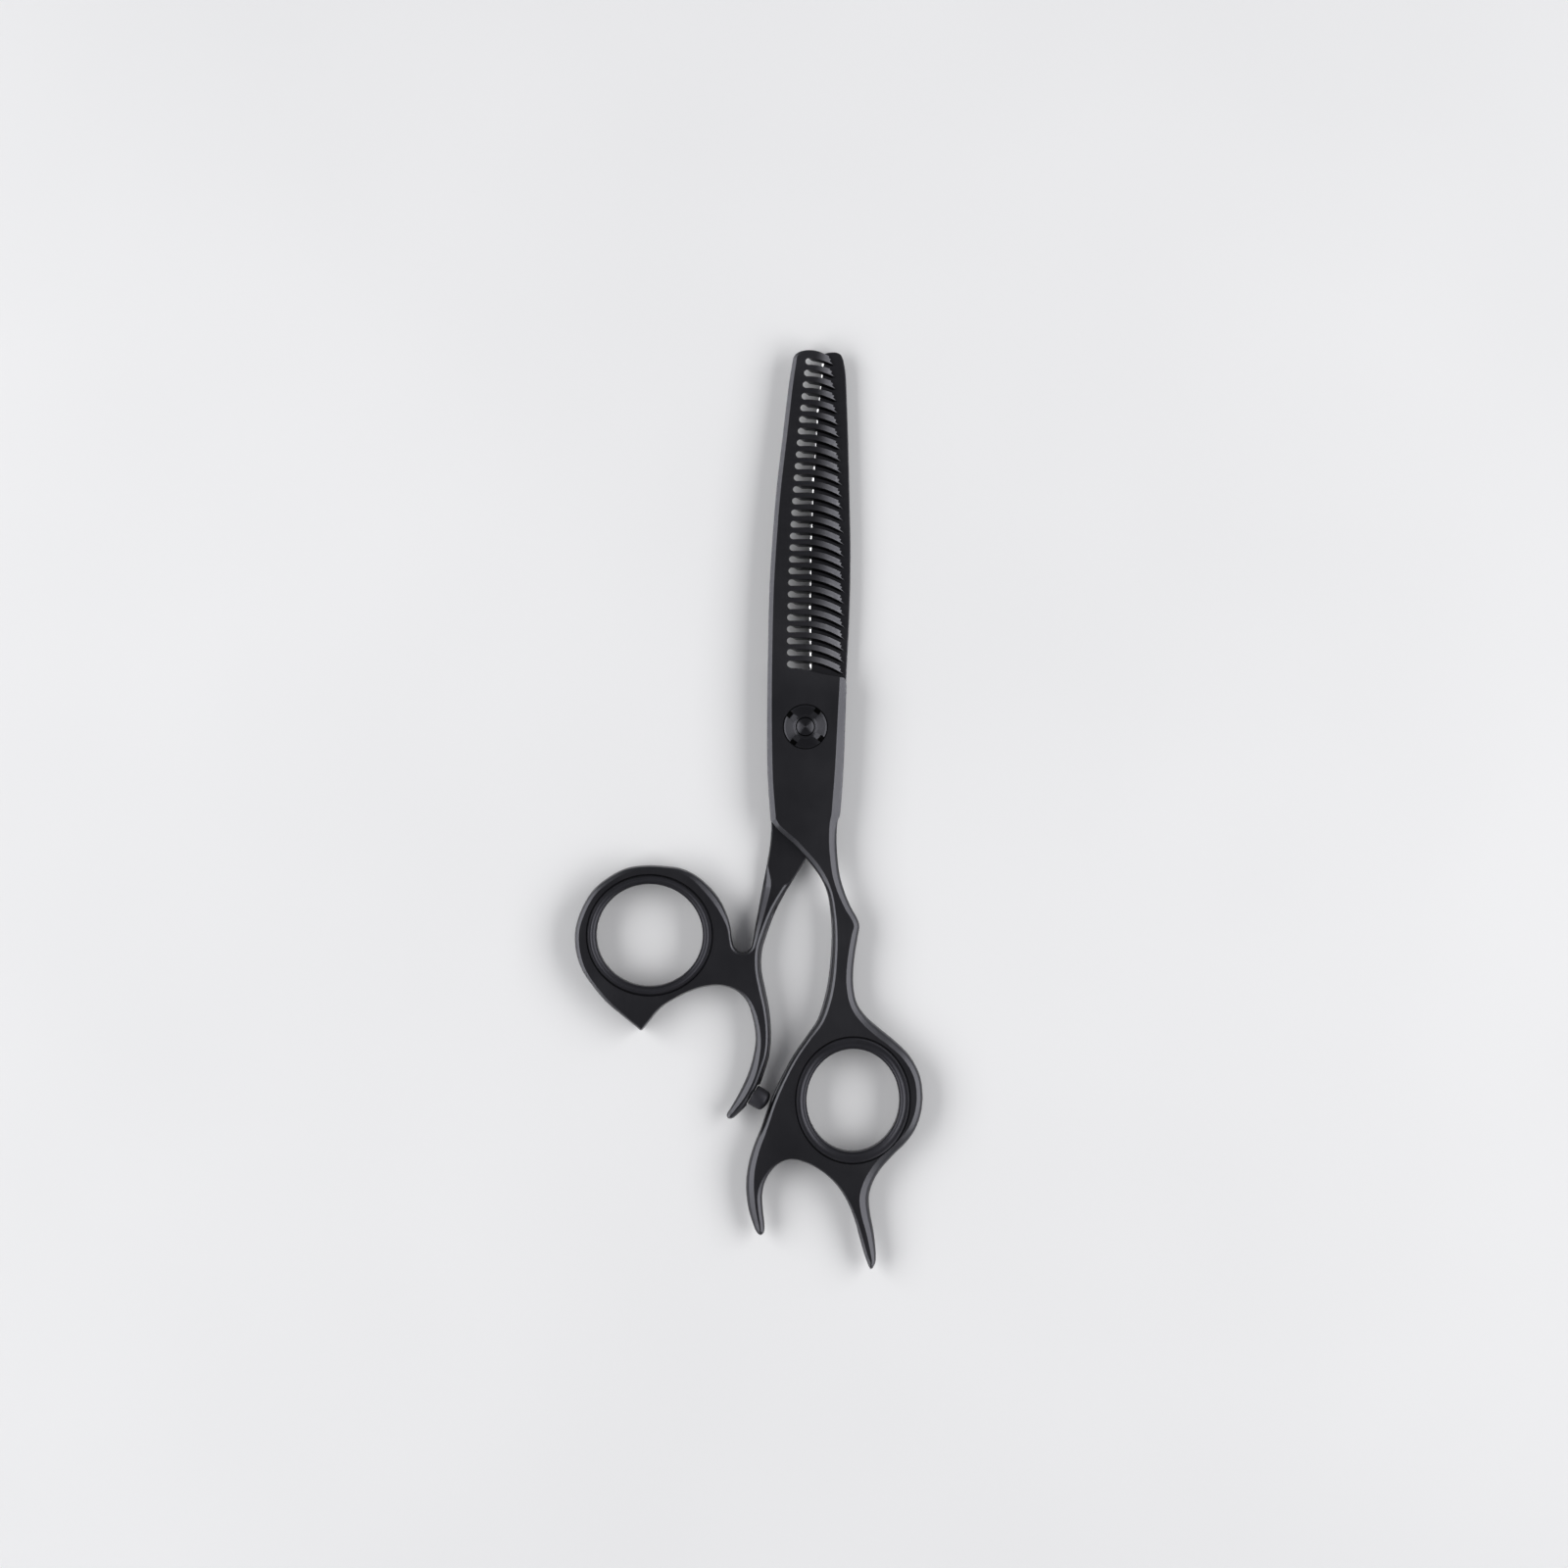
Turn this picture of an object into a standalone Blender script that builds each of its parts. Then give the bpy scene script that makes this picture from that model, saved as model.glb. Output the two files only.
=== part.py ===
"""Thinning shears, closed and lying flat, with the comb half uppermost.

The frame has +Z up, +Y towards the blade tips and +X towards the finger ring.
The origin is on the pivot axis, at the back face of the pivot stud's head.
Each half is one outline in plan. Its thickness falls off with the distance
from that outline, as it does on a forging that has been ground and polished.
"""

import math

import bmesh
import bpy
import numpy as np
from mathutils import Matrix, Vector
from mathutils.geometry import delaunay_2d_cdt

# Driving dimensions, in millimetres. MM turns them into Blender's metres.
MM = 0.001
PARTING = 3.0  # height of the plane on which the two halves ride
RIDE_GAP = 0.1  # each ride face stands this far off the parting plane
RICASSO = 2.8  # thickness of one half round the pivot
BLADE_TIP = 1.45  # thickness of one blade at its tip
HANDLE = 2.5  # half the thickness of a handle
TANG_END = 1.25  # half the thickness at the end of a tang or hook
HANDLE_EDGE = 1.25  # depth of the rounding along a handle's edge, over its width
BLADE_EDGE = 0.6  # depth of the chamfer along a blade's edge, over its width
CUTTING_EDGE = 0.15  # thickness left at the plain blade's cutting edge
TOOTH_TIP = 0.5  # thickness left at the comb's tooth tips
BEVEL_WIDTH = 5.0  # width of the convex grind behind the cutting edge
TOOTH_SLOPE = 3.5  # how long the teeth's slope is for its depth
TIP_Y = 71.0
HEEL_Y = 9.3  # where the blades begin, above the pivot
RING_X = -12.0  # everything left of this is thumb ring, of full thickness
RIDE_END = -30.0  # where a handle starts to rise beside the ride face, and how far it takes
RISE_RUN = 13.0
COMB_WELD = (5.0, -33.5, 0.0)  # a place on the comb's weld, and its lean in degrees
PLAIN_WELD = (-5.0, -31.5, -19.0)
WELD_GAP = 0.05

SLOTS = 27
SLOT_PITCH = 2.197
FIRST_SLOT_Y = 11.8
SLOT_HALF_ROOT = 0.64  # half the height of a slot at its root
SLOT_HALF_TIP = 0.5
TOOTH_DROOP = 0.04  # how fast a tooth curves down past the droop line
TOOTH_RAKE = 0.79  # how far a tooth's upper corner stands back from its point

STUD_HEAD_R = 4.0
STUD_HEAD = 1.2
STUD_R = 1.95
STUD_FLAT = 1.55  # half the distance across the stud's two flats
THREAD_R = 1.65
DIAL_R = 4.0
DIAL_RECESS_R = 4.2
DIAL_RECESS = 1.45
DIAL_HOLE_R = 1.85
DIAL_BOTTOM = 5.2
DIAL_TOP = 6.5
NOTCH_ANGLE = 52.4  # direction of the dial's first key notch, in degrees
BUSH_R = 2.9
BLADE_WASHER_R = 4.5
WASHER_HALF = 0.25
THRUST_WASHER = 0.3
WASHER_GAP = 0.05
FIT = 0.1  # clearance between parts that touch

THUMB_RING = (-29.38, -39.3)
THUMB_OVAL = (10.02, 9.62)  # half width and half height of the opening
THUMB_LIP = 1.78  # width of the insert's face
FINGER_RING = (8.96, -70.42)
FINGER_OVAL = (8.75, 9.67)
FINGER_LIP = 2.13
FINGER_LEAN = -2.5  # degrees
INSERT_WALL = 0.95
INSERT_HALF = 3.0
REBATE = 0.75  # depth of the seat that takes an insert's flange

BUMPER_SEAT = (-9.99, -69.32)  # where the bumper meets the hook
BUMPER_ANGLE = -31.0  # its direction in plan, in degrees
BUMPER_R = 2.0
BUMPER_LENGTH = 3.35
BUMPER_STUD_R = 0.8

# Outlines in plan, in millimetres from the pivot axis. Each is a smooth run, and
# the third number is the width of the rounding or chamfer along that edge.
COMB_SPINE = [(-2.3, 69.6, 0.7), (-3.0, 65.3, 0.75), (-4.3, 54.6, 0.8), (-5.4, 45.2, 0.8),
              (-6.2, 35.5, 0.8), (-6.76, 26.0, 0.8), (-7.05, 14.0, 0.8), (-7.2, 4.0, 0.85),
              (-7.22, -4.0, 0.95), (-7.05, -10.5, 0.95), (-6.55, -17.6, 1.0)]
COMB_INSIDE = [(-6.55, -17.6, 1.0), (-5.5, -19.0, 0.8), (-4.15, -20.4, 0.9),
               (-2.4, -22.05, 1.0), (-0.7, -23.85, 1.0), (1.5, -26.5, 1.1), (3.0, -28.7, 1.0),
               (4.1, -31.3, 0.95), (4.75, -35.2, 1.0), (4.95, -39.3, 1.1), (4.8, -43.0, 1.2),
               (4.35, -47.5, 1.3), (3.6, -51.2, 1.35), (2.3, -55.2, 1.2), (0.1, -58.5, 1.0),
               (-2.3, -62.0, 1.0), (-4.5, -66.1, 1.0), (-6.5, -70.4, 1.1), (-8.4, -75.7, 1.2),
               (-9.9, -79.5, 1.3), (-10.9, -83.3, 1.4), (-11.2, -86.8, 1.5),
               (-10.8, -90.7, 1.4), (-10.0, -93.5, 1.1)]
FINGER_HOOK_END = [(-9.2, -95.4, 0.8), (-8.45, -96.0, 0.7), (-7.8, -95.4, 0.7)]
FINGER_ARCH = [(-7.7, -94.0, 0.8), (-8.0, -91.1, 0.9), (-8.1, -88.1, 0.9), (-7.4, -85.4, 0.65),
               (-5.5, -82.8, 0.45), (-3.0, -81.65, 0.35), (-0.2, -82.1, 0.35), (3.0, -83.8, 0.35),
               (5.6, -86.1, 0.35), (7.6, -89.0, 0.4), (9.2, -92.8, 0.5), (10.4, -97.1, 0.6)]
TANG_POINT = [(11.4, -100.4, 0.6), (12.4, -102.4, 0.6), (13.2, -101.2, 0.7)]
FINGER_OUTSIDE = [(13.3, -99.3, 1.0), (12.9, -95.4, 1.4), (12.2, -91.6, 1.7),
                  (12.0, -88.9, 1.8), (12.5, -86.6, 1.7), (13.9, -83.9, 1.6),
                  (16.5, -80.9, 1.5), (19.0, -78.4, 1.4), (20.8, -75.8, 1.3),
                  (21.9, -72.4, 1.2), (22.1, -68.9, 1.15), (21.5, -65.5, 1.2),
                  (19.6, -62.0, 1.3), (16.8, -59.2, 1.4), (13.8, -56.75, 1.5),
                  (11.4, -54.6, 1.4), (9.8, -52.3, 1.3), (9.1, -49.3, 1.3),
                  (9.05, -46.0, 1.3), (9.4, -42.6, 1.25), (9.95, -39.3, 1.2),
                  (10.2, -37.6, 1.05), (9.8, -36.2, 1.05), (8.5, -33.8, 1.15),
                  (7.3, -30.9, 1.25), (6.5, -28.0, 1.35), (6.05, -24.5, 1.4),
                  (5.87, -21.5, 1.4), (5.95, -18.9, 1.4), (6.15, -17.7, 1.45),
                  (6.5, -16.7, 1.6), (6.85, -13.2, 1.65), (7.2, -7.8, 1.6), (7.5, 0.0, 1.5),
                  (7.67, 5.0, 1.4), (7.73, 7.9, 1.3)]
HEEL_CORNER = [(7.55, 8.9, 0.9), (7.1, 9.25, 0.4)]
HEEL_LINE = [(6.4, 9.36), (4.5, 9.7), (2.6, 10.06), (0.9, 10.5), (-0.8, 10.9), (-2.7, 11.05)]
COMB_TIP = [(4.5, 69.9, 0.2), (3.0, 70.6, 0.3), (1.6, 70.98, 0.3), (0.3, 71.02, 0.3),
            (-1.0, 70.75, 0.35), (-1.85, 70.25, 0.5), (-2.3, 69.6, 0.7)]

CUTTING_LINE = [(3.4, 70.3, 0), (3.07, 68.1, 0), (2.1, 59.3, 0), (1.28, 46.6, 0),
                (0.8, 34.0, 0), (0.66, 22.0, 0), (0.8, 11.0, 0)]
PLAIN_HEEL = [(0.8, 11.0, 0.3), (0.3, 9.6, 0.6), (-2.3, 8.2, 0.8), (-5.0, 6.4, 0.8),
              (-6.5, 3.5, 0.8), (-6.95, 0.0, 0.85), (-6.95, -6.0, 0.9), (-6.75, -13.0, 0.9),
              (-6.45, -18.0, 1.0), (-6.6, -21.7, 1.2), (-7.2, -25.6, 1.5), (-7.9, -29.3, 1.6),
              (-8.7, -33.5, 1.4), (-9.45, -37.5, 1.0), (-9.95, -40.5, 0.7),
              (-10.25, -41.6, 0.6), (-11.1, -42.45, 0.6), (-12.3, -42.5, 0.6),
              (-13.4, -41.6, 0.6), (-13.85, -40.1, 0.5)]
THUMB_OUTSIDE = [(-14.1, -38.0, 0.6), (-14.9, -35.2, 1.0), (-16.3, -32.4, 1.3),
                 (-18.3, -30.0, 1.3), (-20.9, -27.9, 1.0), (-23.6, -26.7, 0.8),
                 (-26.5, -26.3, 0.7), (-30.0, -26.15, 0.7), (-33.8, -26.7, 0.8),
                 (-37.3, -28.5, 0.9), (-40.2, -31.0, 0.9), (-42.3, -34.6, 0.9),
                 (-43.4, -38.4, 0.8), (-43.3, -42.2, 0.8), (-42.2, -45.7, 0.7),
                 (-40.2, -48.8, 0.6), (-37.4, -52.1, 0.6), (-34.3, -54.7, 0.5),
                 (-31.7, -56.8, 0.5)]
THUMB_CORNER = [(-31.0, -57.3, 0.45), (-30.4, -56.8, 0.45)]
THUMB_ARCH = [(-29.2, -55.3, 0.4), (-27.2, -53.0, 0.4), (-24.4, -51.2, 0.4),
              (-21.2, -49.7, 0.4), (-18.1, -48.9, 0.4), (-15.5, -48.9, 0.4),
              (-13.0, -49.85, 0.5), (-11.15, -51.7, 0.7), (-10.0, -54.7, 0.9),
              (-9.4, -58.7, 1.0), (-9.8, -61.9, 1.2), (-10.8, -65.4, 1.4),
              (-12.5, -69.1, 1.3), (-14.1, -71.9, 0.9)]
THUMB_HOOK_END = [(-14.85, -73.2, 0.7), (-14.6, -73.9, 0.6), (-13.9, -73.95, 0.6)]
PLAIN_INSIDE = [(-12.6, -73.0, 0.7), (-10.8, -71.1, 0.9), (-8.9, -68.2, 1.1),
                (-7.55, -64.7, 1.1), (-6.75, -61.8, 1.0), (-6.45, -58.0, 1.0),
                (-6.8, -53.4, 1.1), (-7.6, -49.3, 1.2), (-8.25, -45.8, 1.2),
                (-8.15, -42.3, 1.25), (-7.2, -39.0, 1.25), (-5.6, -34.8, 1.15),
                (-3.8, -31.4, 1.0), (-2.1, -28.6, 0.9), (0.1, -25.1, 0.8)]
PLAIN_DIAGONAL = [(0.1, -25.1, 0.8), (1.5, -23.3, 0.8), (3.7, -20.6, 0.8),
                  (5.5, -18.2, 0.8), (6.3, -16.8, 0.8)]
PLAIN_SPINE = [(6.3, -16.8, 0.8), (6.6, -14.0, 0.8), (6.95, -8.0, 0.8), (7.3, 0.0, 0.8),
               (7.6, 6.0, 0.8), (7.9, 12.5, 0.8), (8.3, 20.5, 0.8), (8.5, 28.0, 0.8),
               (8.52, 35.0, 0.8), (8.34, 44.0, 0.8), (8.12, 53.5, 0.8), (7.85, 61.5, 0.8),
               (7.6, 66.8, 0.7), (7.2, 69.2, 0.5)]
PLAIN_TIP = [(7.2, 69.2, 0.5), (6.7, 70.25, 0.4), (5.9, 70.67, 0.35), (5.0, 70.7, 0.3),
             (4.2, 70.6, 0.3), (3.4, 70.3, 0.2)]
ROOT_LINE = [(-3.46, 11.8), (-3.48, 19.0), (-3.2, 28.5), (-2.85, 37.5), (-2.2, 46.8),
             (-1.4, 55.9), (-0.75, 62.2), (0.0, 68.9)]  # left ends of the slots
DROOP_LINE = [(-0.55, 11.8), (0.05, 42.0), (0.0, 68.9)]  # where a tooth starts to curve
POINT_LINE = [(7.35, 9.8), (7.5, 16.5), (7.5, 25.0), (7.4, 32.0), (7.2, 38.8),
              (6.9, 47.7), (6.53, 54.5), (5.97, 61.2), (5.3, 68.0)]  # points of the teeth

RUN_STEP = 1.6  # mm between the points sampled along a run
BLADE_STEP = 4.0
EDGE_RINGS = (0.5, 1.0)  # where an edge is sampled, as parts of its width
COATING = (0.022, 0.022, 0.025, 1.0)
STEEL = (0.55, 0.56, 0.58, 1.0)
RUBBER = (0.02, 0.02, 0.021, 1.0)
NYLON = (0.75, 0.74, 0.70, 1.0)


def clear_scene():
    for obj in list(bpy.data.objects):
        bpy.data.objects.remove(obj, do_unlink=True)


def collection(name, hidden=False):
    made = bpy.data.collections.new(name)
    made.hide_render = hidden
    bpy.context.scene.collection.children.link(made)
    return made


def material(name, colour, roughness, metallic):
    made = bpy.data.materials.new(name)
    made.use_nodes = True
    shader = made.node_tree.nodes["Principled BSDF"]
    shader.inputs["Base Color"].default_value = colour
    shader.inputs["Roughness"].default_value = roughness
    shader.inputs["Metallic"].default_value = metallic
    return made


def smooth(value, start, end):
    """0 up to start, 1 from end on, with an S-curve between."""
    t = np.clip((np.asarray(value, float) - start) / (end - start), 0, 1)
    return t * t * (3 - 2 * t)


def mix(a, b, t):
    return a + (b - a) * t


def line_x(line, y):
    """x on a line that is given by points, at height y."""
    points = np.array(sorted((p[1], p[0]) for p in line))
    return np.interp(y, points[:, 0], points[:, 1])


def run(points, step=RUN_STEP):
    """Points along a smooth centripetal curve through the given ones."""
    p = np.array(points, float)
    p = np.vstack([2 * p[0] - p[1], p, 2 * p[-1] - p[-2]])
    found = []
    for a, b, c, d in zip(p, p[1:], p[2:], p[3:]):
        chord = [math.sqrt(np.linalg.norm(v)) for v in (b - a, c - b, d - c)]
        m1 = (b - a) / chord[0] - (c - a) / (chord[0] + chord[1]) + (c - b) / chord[1]
        m2 = (c - b) / chord[1] - (d - b) / (chord[1] + chord[2]) + (d - c) / chord[2]
        m1, m2 = m1 * chord[1], m2 * chord[1]
        count = max(1, round(float(np.linalg.norm(c - b)) / step))
        for t in np.arange(count) / count:
            h = (2 * t**3 - 3 * t**2 + 1, t**3 - 2 * t**2 + t, 3 * t**2 - 2 * t**3, t**3 - t**2)
            found.append(h[0] * b + h[1] * m1 + h[2] * c + h[3] * m2)
    return found + [p[-2]]


def slot_centre(n, x):
    """Height of slot n's centre line at x."""
    y = FIRST_SLOT_Y + n * SLOT_PITCH
    return y - TOOTH_DROOP * np.maximum(0, x - line_x(DROOP_LINE, y)) ** 2


def slot_half(n, x):
    """Half the height of slot n at x."""
    y = FIRST_SLOT_Y + n * SLOT_PITCH
    root, point = line_x(ROOT_LINE, y), line_x(POINT_LINE, y)
    return mix(SLOT_HALF_ROOT, SLOT_HALF_TIP, np.clip((x - root) / (point - root), 0, 1))


def slot_side(n, side, x_end):
    """Points along one side of slot n, from its root to x_end."""
    start = line_x(ROOT_LINE, FIRST_SLOT_Y + n * SLOT_PITCH) + SLOT_HALF_ROOT
    xs = mix(start, x_end, np.array([0.0, 0.35, 0.6, 0.8, 1.0]))
    return [np.array((x, slot_centre(n, x) + side * slot_half(n, x))) for x in xs]


def slot_root(n):
    """The round end of slot n, from its lower side to its upper side."""
    centre = line_x(ROOT_LINE, FIRST_SLOT_Y + n * SLOT_PITCH) + SLOT_HALF_ROOT
    angles = np.radians([225, 180, 135])
    y = slot_centre(n, centre)
    return [np.array((centre + SLOT_HALF_ROOT * math.cos(a), y + SLOT_HALF_ROOT * math.sin(a)))
            for a in angles]


def comb_teeth():
    """The toothed edge of the comb, from the heel up to the tip."""
    found = [np.array(p) for p in HEEL_LINE]
    for n in range(SLOTS):
        point_x = float(line_x(POINT_LINE, FIRST_SLOT_Y + n * SLOT_PITCH - 2))
        if n:
            found += slot_side(n, -1, point_x - TOOTH_RAKE)[::-1]
        found += slot_root(n)
        found += slot_side(n, 1, point_x)
    return found


def comb_outline():
    """The run that has rounded edges, and the whole outline in plan."""
    handle = COMB_INSIDE + FINGER_HOOK_END + FINGER_ARCH + TANG_POINT + FINGER_OUTSIDE
    sides = run(COMB_SPINE, BLADE_STEP)[:-1] + run(handle + HEEL_CORNER)
    tip = run(COMB_TIP)
    return tip[:-1] + sides, [p[:2] for p in sides] + comb_teeth() + [p[:2] for p in tip[:-1]]


def plain_outline():
    """The run that has rounded edges, and the whole outline in plan."""
    handle = (PLAIN_HEEL + THUMB_OUTSIDE + THUMB_CORNER + THUMB_ARCH + THUMB_HOOK_END
              + PLAIN_INSIDE)
    sides = (run(handle)[:-1] + run(PLAIN_DIAGONAL)[:-1] + run(PLAIN_SPINE, BLADE_STEP)[:-1]
             + run(PLAIN_TIP))
    return sides, [p[:2] for p in run(CUTTING_LINE, BLADE_STEP)[:-1] + sides[:-1]]


def nearest(line, points):
    """Yields each stretch's distance to the points, and the edge's width there."""
    for start, end in zip(line, line[1:]):
        step = end[:2] - start[:2]
        t = np.clip((points - start[:2]) @ step / max(step @ step, 1e-12), 0, 1)
        d = np.linalg.norm(points - start[:2] - t[:, None] * step, axis=1)
        yield d, mix(start[-1], end[-1], t)


def distance_to(line, points):
    """Distance from each point to the nearest place on a line."""
    return np.min([d for d, _ in nearest(line, points)], axis=0)


def edge_drop(line, points):
    """How far an edge falls away at each point, for a depth equal to its width."""
    drops = []
    for d, width in nearest(line, points):
        near = np.clip(1 - d / np.maximum(width, 1e-6), 0, 1)
        drops.append(width * (0.45 * near + 0.55 * near**3))
    return np.max(drops, axis=0)


def inside(loop, points):
    """Which points lie inside a closed outline."""
    loop = np.array(loop)
    x, y = points[:, 0], points[:, 1]
    found = np.zeros(len(points), bool)
    for (x1, y1), (x2, y2) in zip(loop, np.roll(loop, -1, axis=0)):
        if y1 != y2:
            crosses = (y1 > y) != (y2 > y)
            found ^= crosses & (x < (x2 - x1) * (y - y1) / (y2 - y1) + x1)
    return found


def inner_points(sides, loop, blade_rows):
    """Points inside an outline: rings along the rounded edges, a grid where the
    thickness changes below the pivot, and rows across the blade."""
    line = np.array(sides)
    tangent = np.gradient(line[:, :2], axis=0)
    normal = np.stack([-tangent[:, 1], tangent[:, 0]], 1)
    normal /= np.linalg.norm(normal, axis=1, keepdims=True)
    width = line[:, 2:]
    groups = [(line[:, :2] + normal * width * part, 0.25, 0.5) for part in EDGE_RINGS]
    xs, ys = np.meshgrid(np.arange(-9.0, 10.0, 1.5), np.arange(-37.0, -18.0, 1.6))
    groups.append((np.stack([xs.ravel(), ys.ravel()], 1), 0.9, 0.9))
    groups.append((np.array(blade_rows), 0.3, 0.3))
    kept = np.zeros((0, 2))
    for points, clear, apart in groups:
        points = points[inside(loop, points)]
        points = points[distance_to([np.array(p) for p in loop + [loop[0]]], points) >= clear]
        for p in points:
            if not len(kept) or np.linalg.norm(kept - p, axis=1).min() > apart:
                kept = np.vstack([kept, p])
    return kept


def handle_half(x, y, side):
    """Half a handle's thickness, thinner towards the ends of its hooks."""
    if side == "comb":
        thin = np.where(x < 2, smooth(-y, 82, 96), smooth(-y, 86, 102))
    else:
        thin = np.where(x > -16, smooth(-y, 60, 74), 0)
    return mix(HANDLE, TANG_END, thin)


def land(y):
    """Thickness of a blade, falling from its heel to its tip."""
    return mix(RICASSO, BLADE_TIP, np.clip((y - HEEL_Y) / (TIP_Y - HEEL_Y), 0, 1))


def outer_face(x, y, edge, half, blade_drop):
    """Height of a half's outer face above the parting plane."""
    to_handle = np.where(x < RING_X, 1, smooth(-y, 16, 34))
    blade = land(y) - np.maximum(BLADE_EDGE * edge, blade_drop)
    handle = half - np.minimum(HANDLE_EDGE * edge, 0.8 * half)
    return mix(blade, handle, to_handle)


def rise(y):
    """How far a handle's inner side has come up from the ride face, from 0 to 1. It
    leaves the ride face at a slight angle and levels off."""
    t = np.clip((RIDE_END - y) / RISE_RUN, 0, 1)
    return t * t * (3 - 2 * t) + 1.1 * t * (1 - t) ** 2


def inner_face(x, y, edge, half):
    """Height of a half's inner face: the ride face, then the handle's far side. The
    handle's rounded edges run on a little way beside the ride face."""
    to_handle = np.where(x < RING_X, 1, rise(y))
    edges = np.where(x < RING_X, 1, smooth(-y, 24.5 + 3.2 * smooth(x, -6, -3), 30.5))
    return mix(RIDE_GAP, -half, to_handle) + edges * np.minimum(HANDLE_EDGE * edge, 0.8 * half)


def comb_faces(points, sides):
    x, y = points.T
    edge, half = edge_drop(sides, points), handle_half(x, y, "comb")
    depth = land(y) - TOOTH_TIP
    slope = np.clip(1 - (line_x(POINT_LINE, y) - x) / (TOOTH_SLOPE * depth), 0, 1)
    drop = np.where(y > slot_centre(0, x), depth * slope**1.6, 0)
    return outer_face(x, y, edge, half, drop), inner_face(x, y, edge, half)


def plain_faces(points, sides):
    x, y = points.T
    edge, half = edge_drop(sides, points), handle_half(x, y, "plain")
    behind = np.clip((x - line_x(CUTTING_LINE, y)) / BEVEL_WIDTH, 0, 1)
    bevel = (land(y) - CUTTING_EDGE - RIDE_GAP) * (1 - np.sin(behind * math.pi / 2))
    drop = np.maximum(bevel * smooth(y, 8.5, 12), 0)
    return outer_face(x, y, edge, half, drop), inner_face(x, y, edge, half)


def half_mesh(name, loop, points, faces_of, up):
    """A closed mesh between two faces over one outline. up is 1 or -1."""
    loop = np.array(loop)
    plan = np.vstack([loop, points])
    ring = list(range(len(loop)))
    made = delaunay_2d_cdt([Vector(p) for p in plan], [], [ring], 1, 1e-5)
    plan, triangles = np.array([tuple(v) for v in made[0]]), made[2]
    outer, inner = faces_of(plan)
    count = len(plan)
    high = np.column_stack([plan, PARTING + up * outer])
    low = np.column_stack([plan, PARTING + up * inner])
    edges = {(t[i], t[(i + 1) % 3]) for t in triangles for i in range(3)}
    faces = [tuple(t) for t in triangles] + [tuple(i + count for i in reversed(t)) for t in triangles]
    faces += [(b, a, a + count, b + count) for a, b in edges if (b, a) not in edges]
    if up < 0:
        faces = [tuple(reversed(f)) for f in faces]
    mesh = bpy.data.meshes.new(name)
    mesh.from_pydata(np.vstack([high, low]) * MM, [], faces)
    mesh.update()
    return mesh


def part_of(mesh, name, weld, side):
    """The piece of a half on one side of its weld: 1 is the blade, -1 the handle."""
    bm = bmesh.new()
    bm.from_mesh(mesh)
    x, y, lean = weld
    across = side * Vector((-math.sin(math.radians(lean)), math.cos(math.radians(lean)), 0))
    place_on = (Vector((x, y, 0)) + across * (WELD_GAP / 2)) * MM
    geometry = bm.verts[:] + bm.edges[:] + bm.faces[:]
    made = bmesh.ops.bisect_plane(bm, geom=geometry, plane_co=place_on, plane_no=-across,
                                  clear_outer=True, dist=1e-8)
    rim = [e for e in made["geom_cut"] if isinstance(e, bmesh.types.BMEdge)]
    bmesh.ops.contextual_create(bm, geom=rim)
    bmesh.ops.triangulate(bm, faces=bm.faces[:])
    bmesh.ops.recalc_face_normals(bm, faces=bm.faces[:])
    piece = bpy.data.meshes.new(name)
    bm.to_mesh(piece)
    bm.free()
    return piece


def add(name, mesh, finish, where):
    """A named object of a mesh, with its material, in a collection."""
    obj = bpy.data.objects.new(name, mesh)
    if finish:
        mesh.materials.append(finish)
    where.objects.link(obj)
    for polygon in mesh.polygons:
        polygon.use_smooth = True
    mesh.set_sharp_from_angle(angle=math.radians(35))
    return obj


def lathe(name, profile, finish, where, steps=40, scale=(1, 1), closed=False):
    """A turned piece from its (radius, height) profile, top to bottom outside."""
    mesh = bpy.data.meshes.new(name)
    count = len(profile)
    edges = [(i, i + 1) for i in range(count - 1)] + ([(count - 1, 0)] if closed else [])
    mesh.from_pydata([(r * MM, 0, z * MM) for r, z in profile], edges, [])
    obj = bpy.data.objects.new(name, mesh)
    if finish:
        mesh.materials.append(finish)
    where.objects.link(obj)
    screw = obj.modifiers.new("turn", "SCREW")
    screw.steps = screw.render_steps = steps
    screw.use_merge_vertices = True
    screw.merge_threshold = 1e-6
    obj.scale = (*scale, 1)
    return obj


def hang(name, where, *pieces):
    """An empty on the pivot axis that carries the pieces which move together."""
    empty = bpy.data.objects.new(name, None)
    where.objects.link(empty)
    for piece in pieces:
        piece.parent = empty
    return empty


def place(obj, x=0.0, y=0.0, z=0.0, turn=0.0):
    obj.location = (x * MM, y * MM, z * MM)
    obj.rotation_euler = (0, 0, math.radians(turn))
    return obj


def prism(name, outline, low, high, finish, where):
    """A straight piece over an outline in plan."""
    bm = bmesh.new()
    face = bm.faces.new([bm.verts.new((x * MM, y * MM, low * MM)) for x, y in outline])
    made = bmesh.ops.extrude_face_region(bm, geom=[face])
    top = [v for v in made["geom"] if isinstance(v, bmesh.types.BMVert)]
    bmesh.ops.translate(bm, verts=top, vec=(0, 0, (high - low) * MM))
    bmesh.ops.recalc_face_normals(bm, faces=bm.faces[:])
    mesh = bpy.data.meshes.new(name)
    bm.to_mesh(mesh)
    bm.free()
    return add(name, mesh, finish, where)


def double_d(radius, flat, steps=32):
    """A circle with two flats, as points in plan."""
    angles = np.arange(steps) * 2 * math.pi / steps
    return [(max(-flat, min(flat, radius * math.cos(a))), radius * math.sin(a)) for a in angles]


def cut(obj, cutter):
    cutter.hide_render = True
    cutter.display_type = "WIRE"
    boolean = obj.modifiers.new("cut " + cutter.name, "BOOLEAN")
    boolean.operation = "DIFFERENCE"
    boolean.object = cutter


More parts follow.
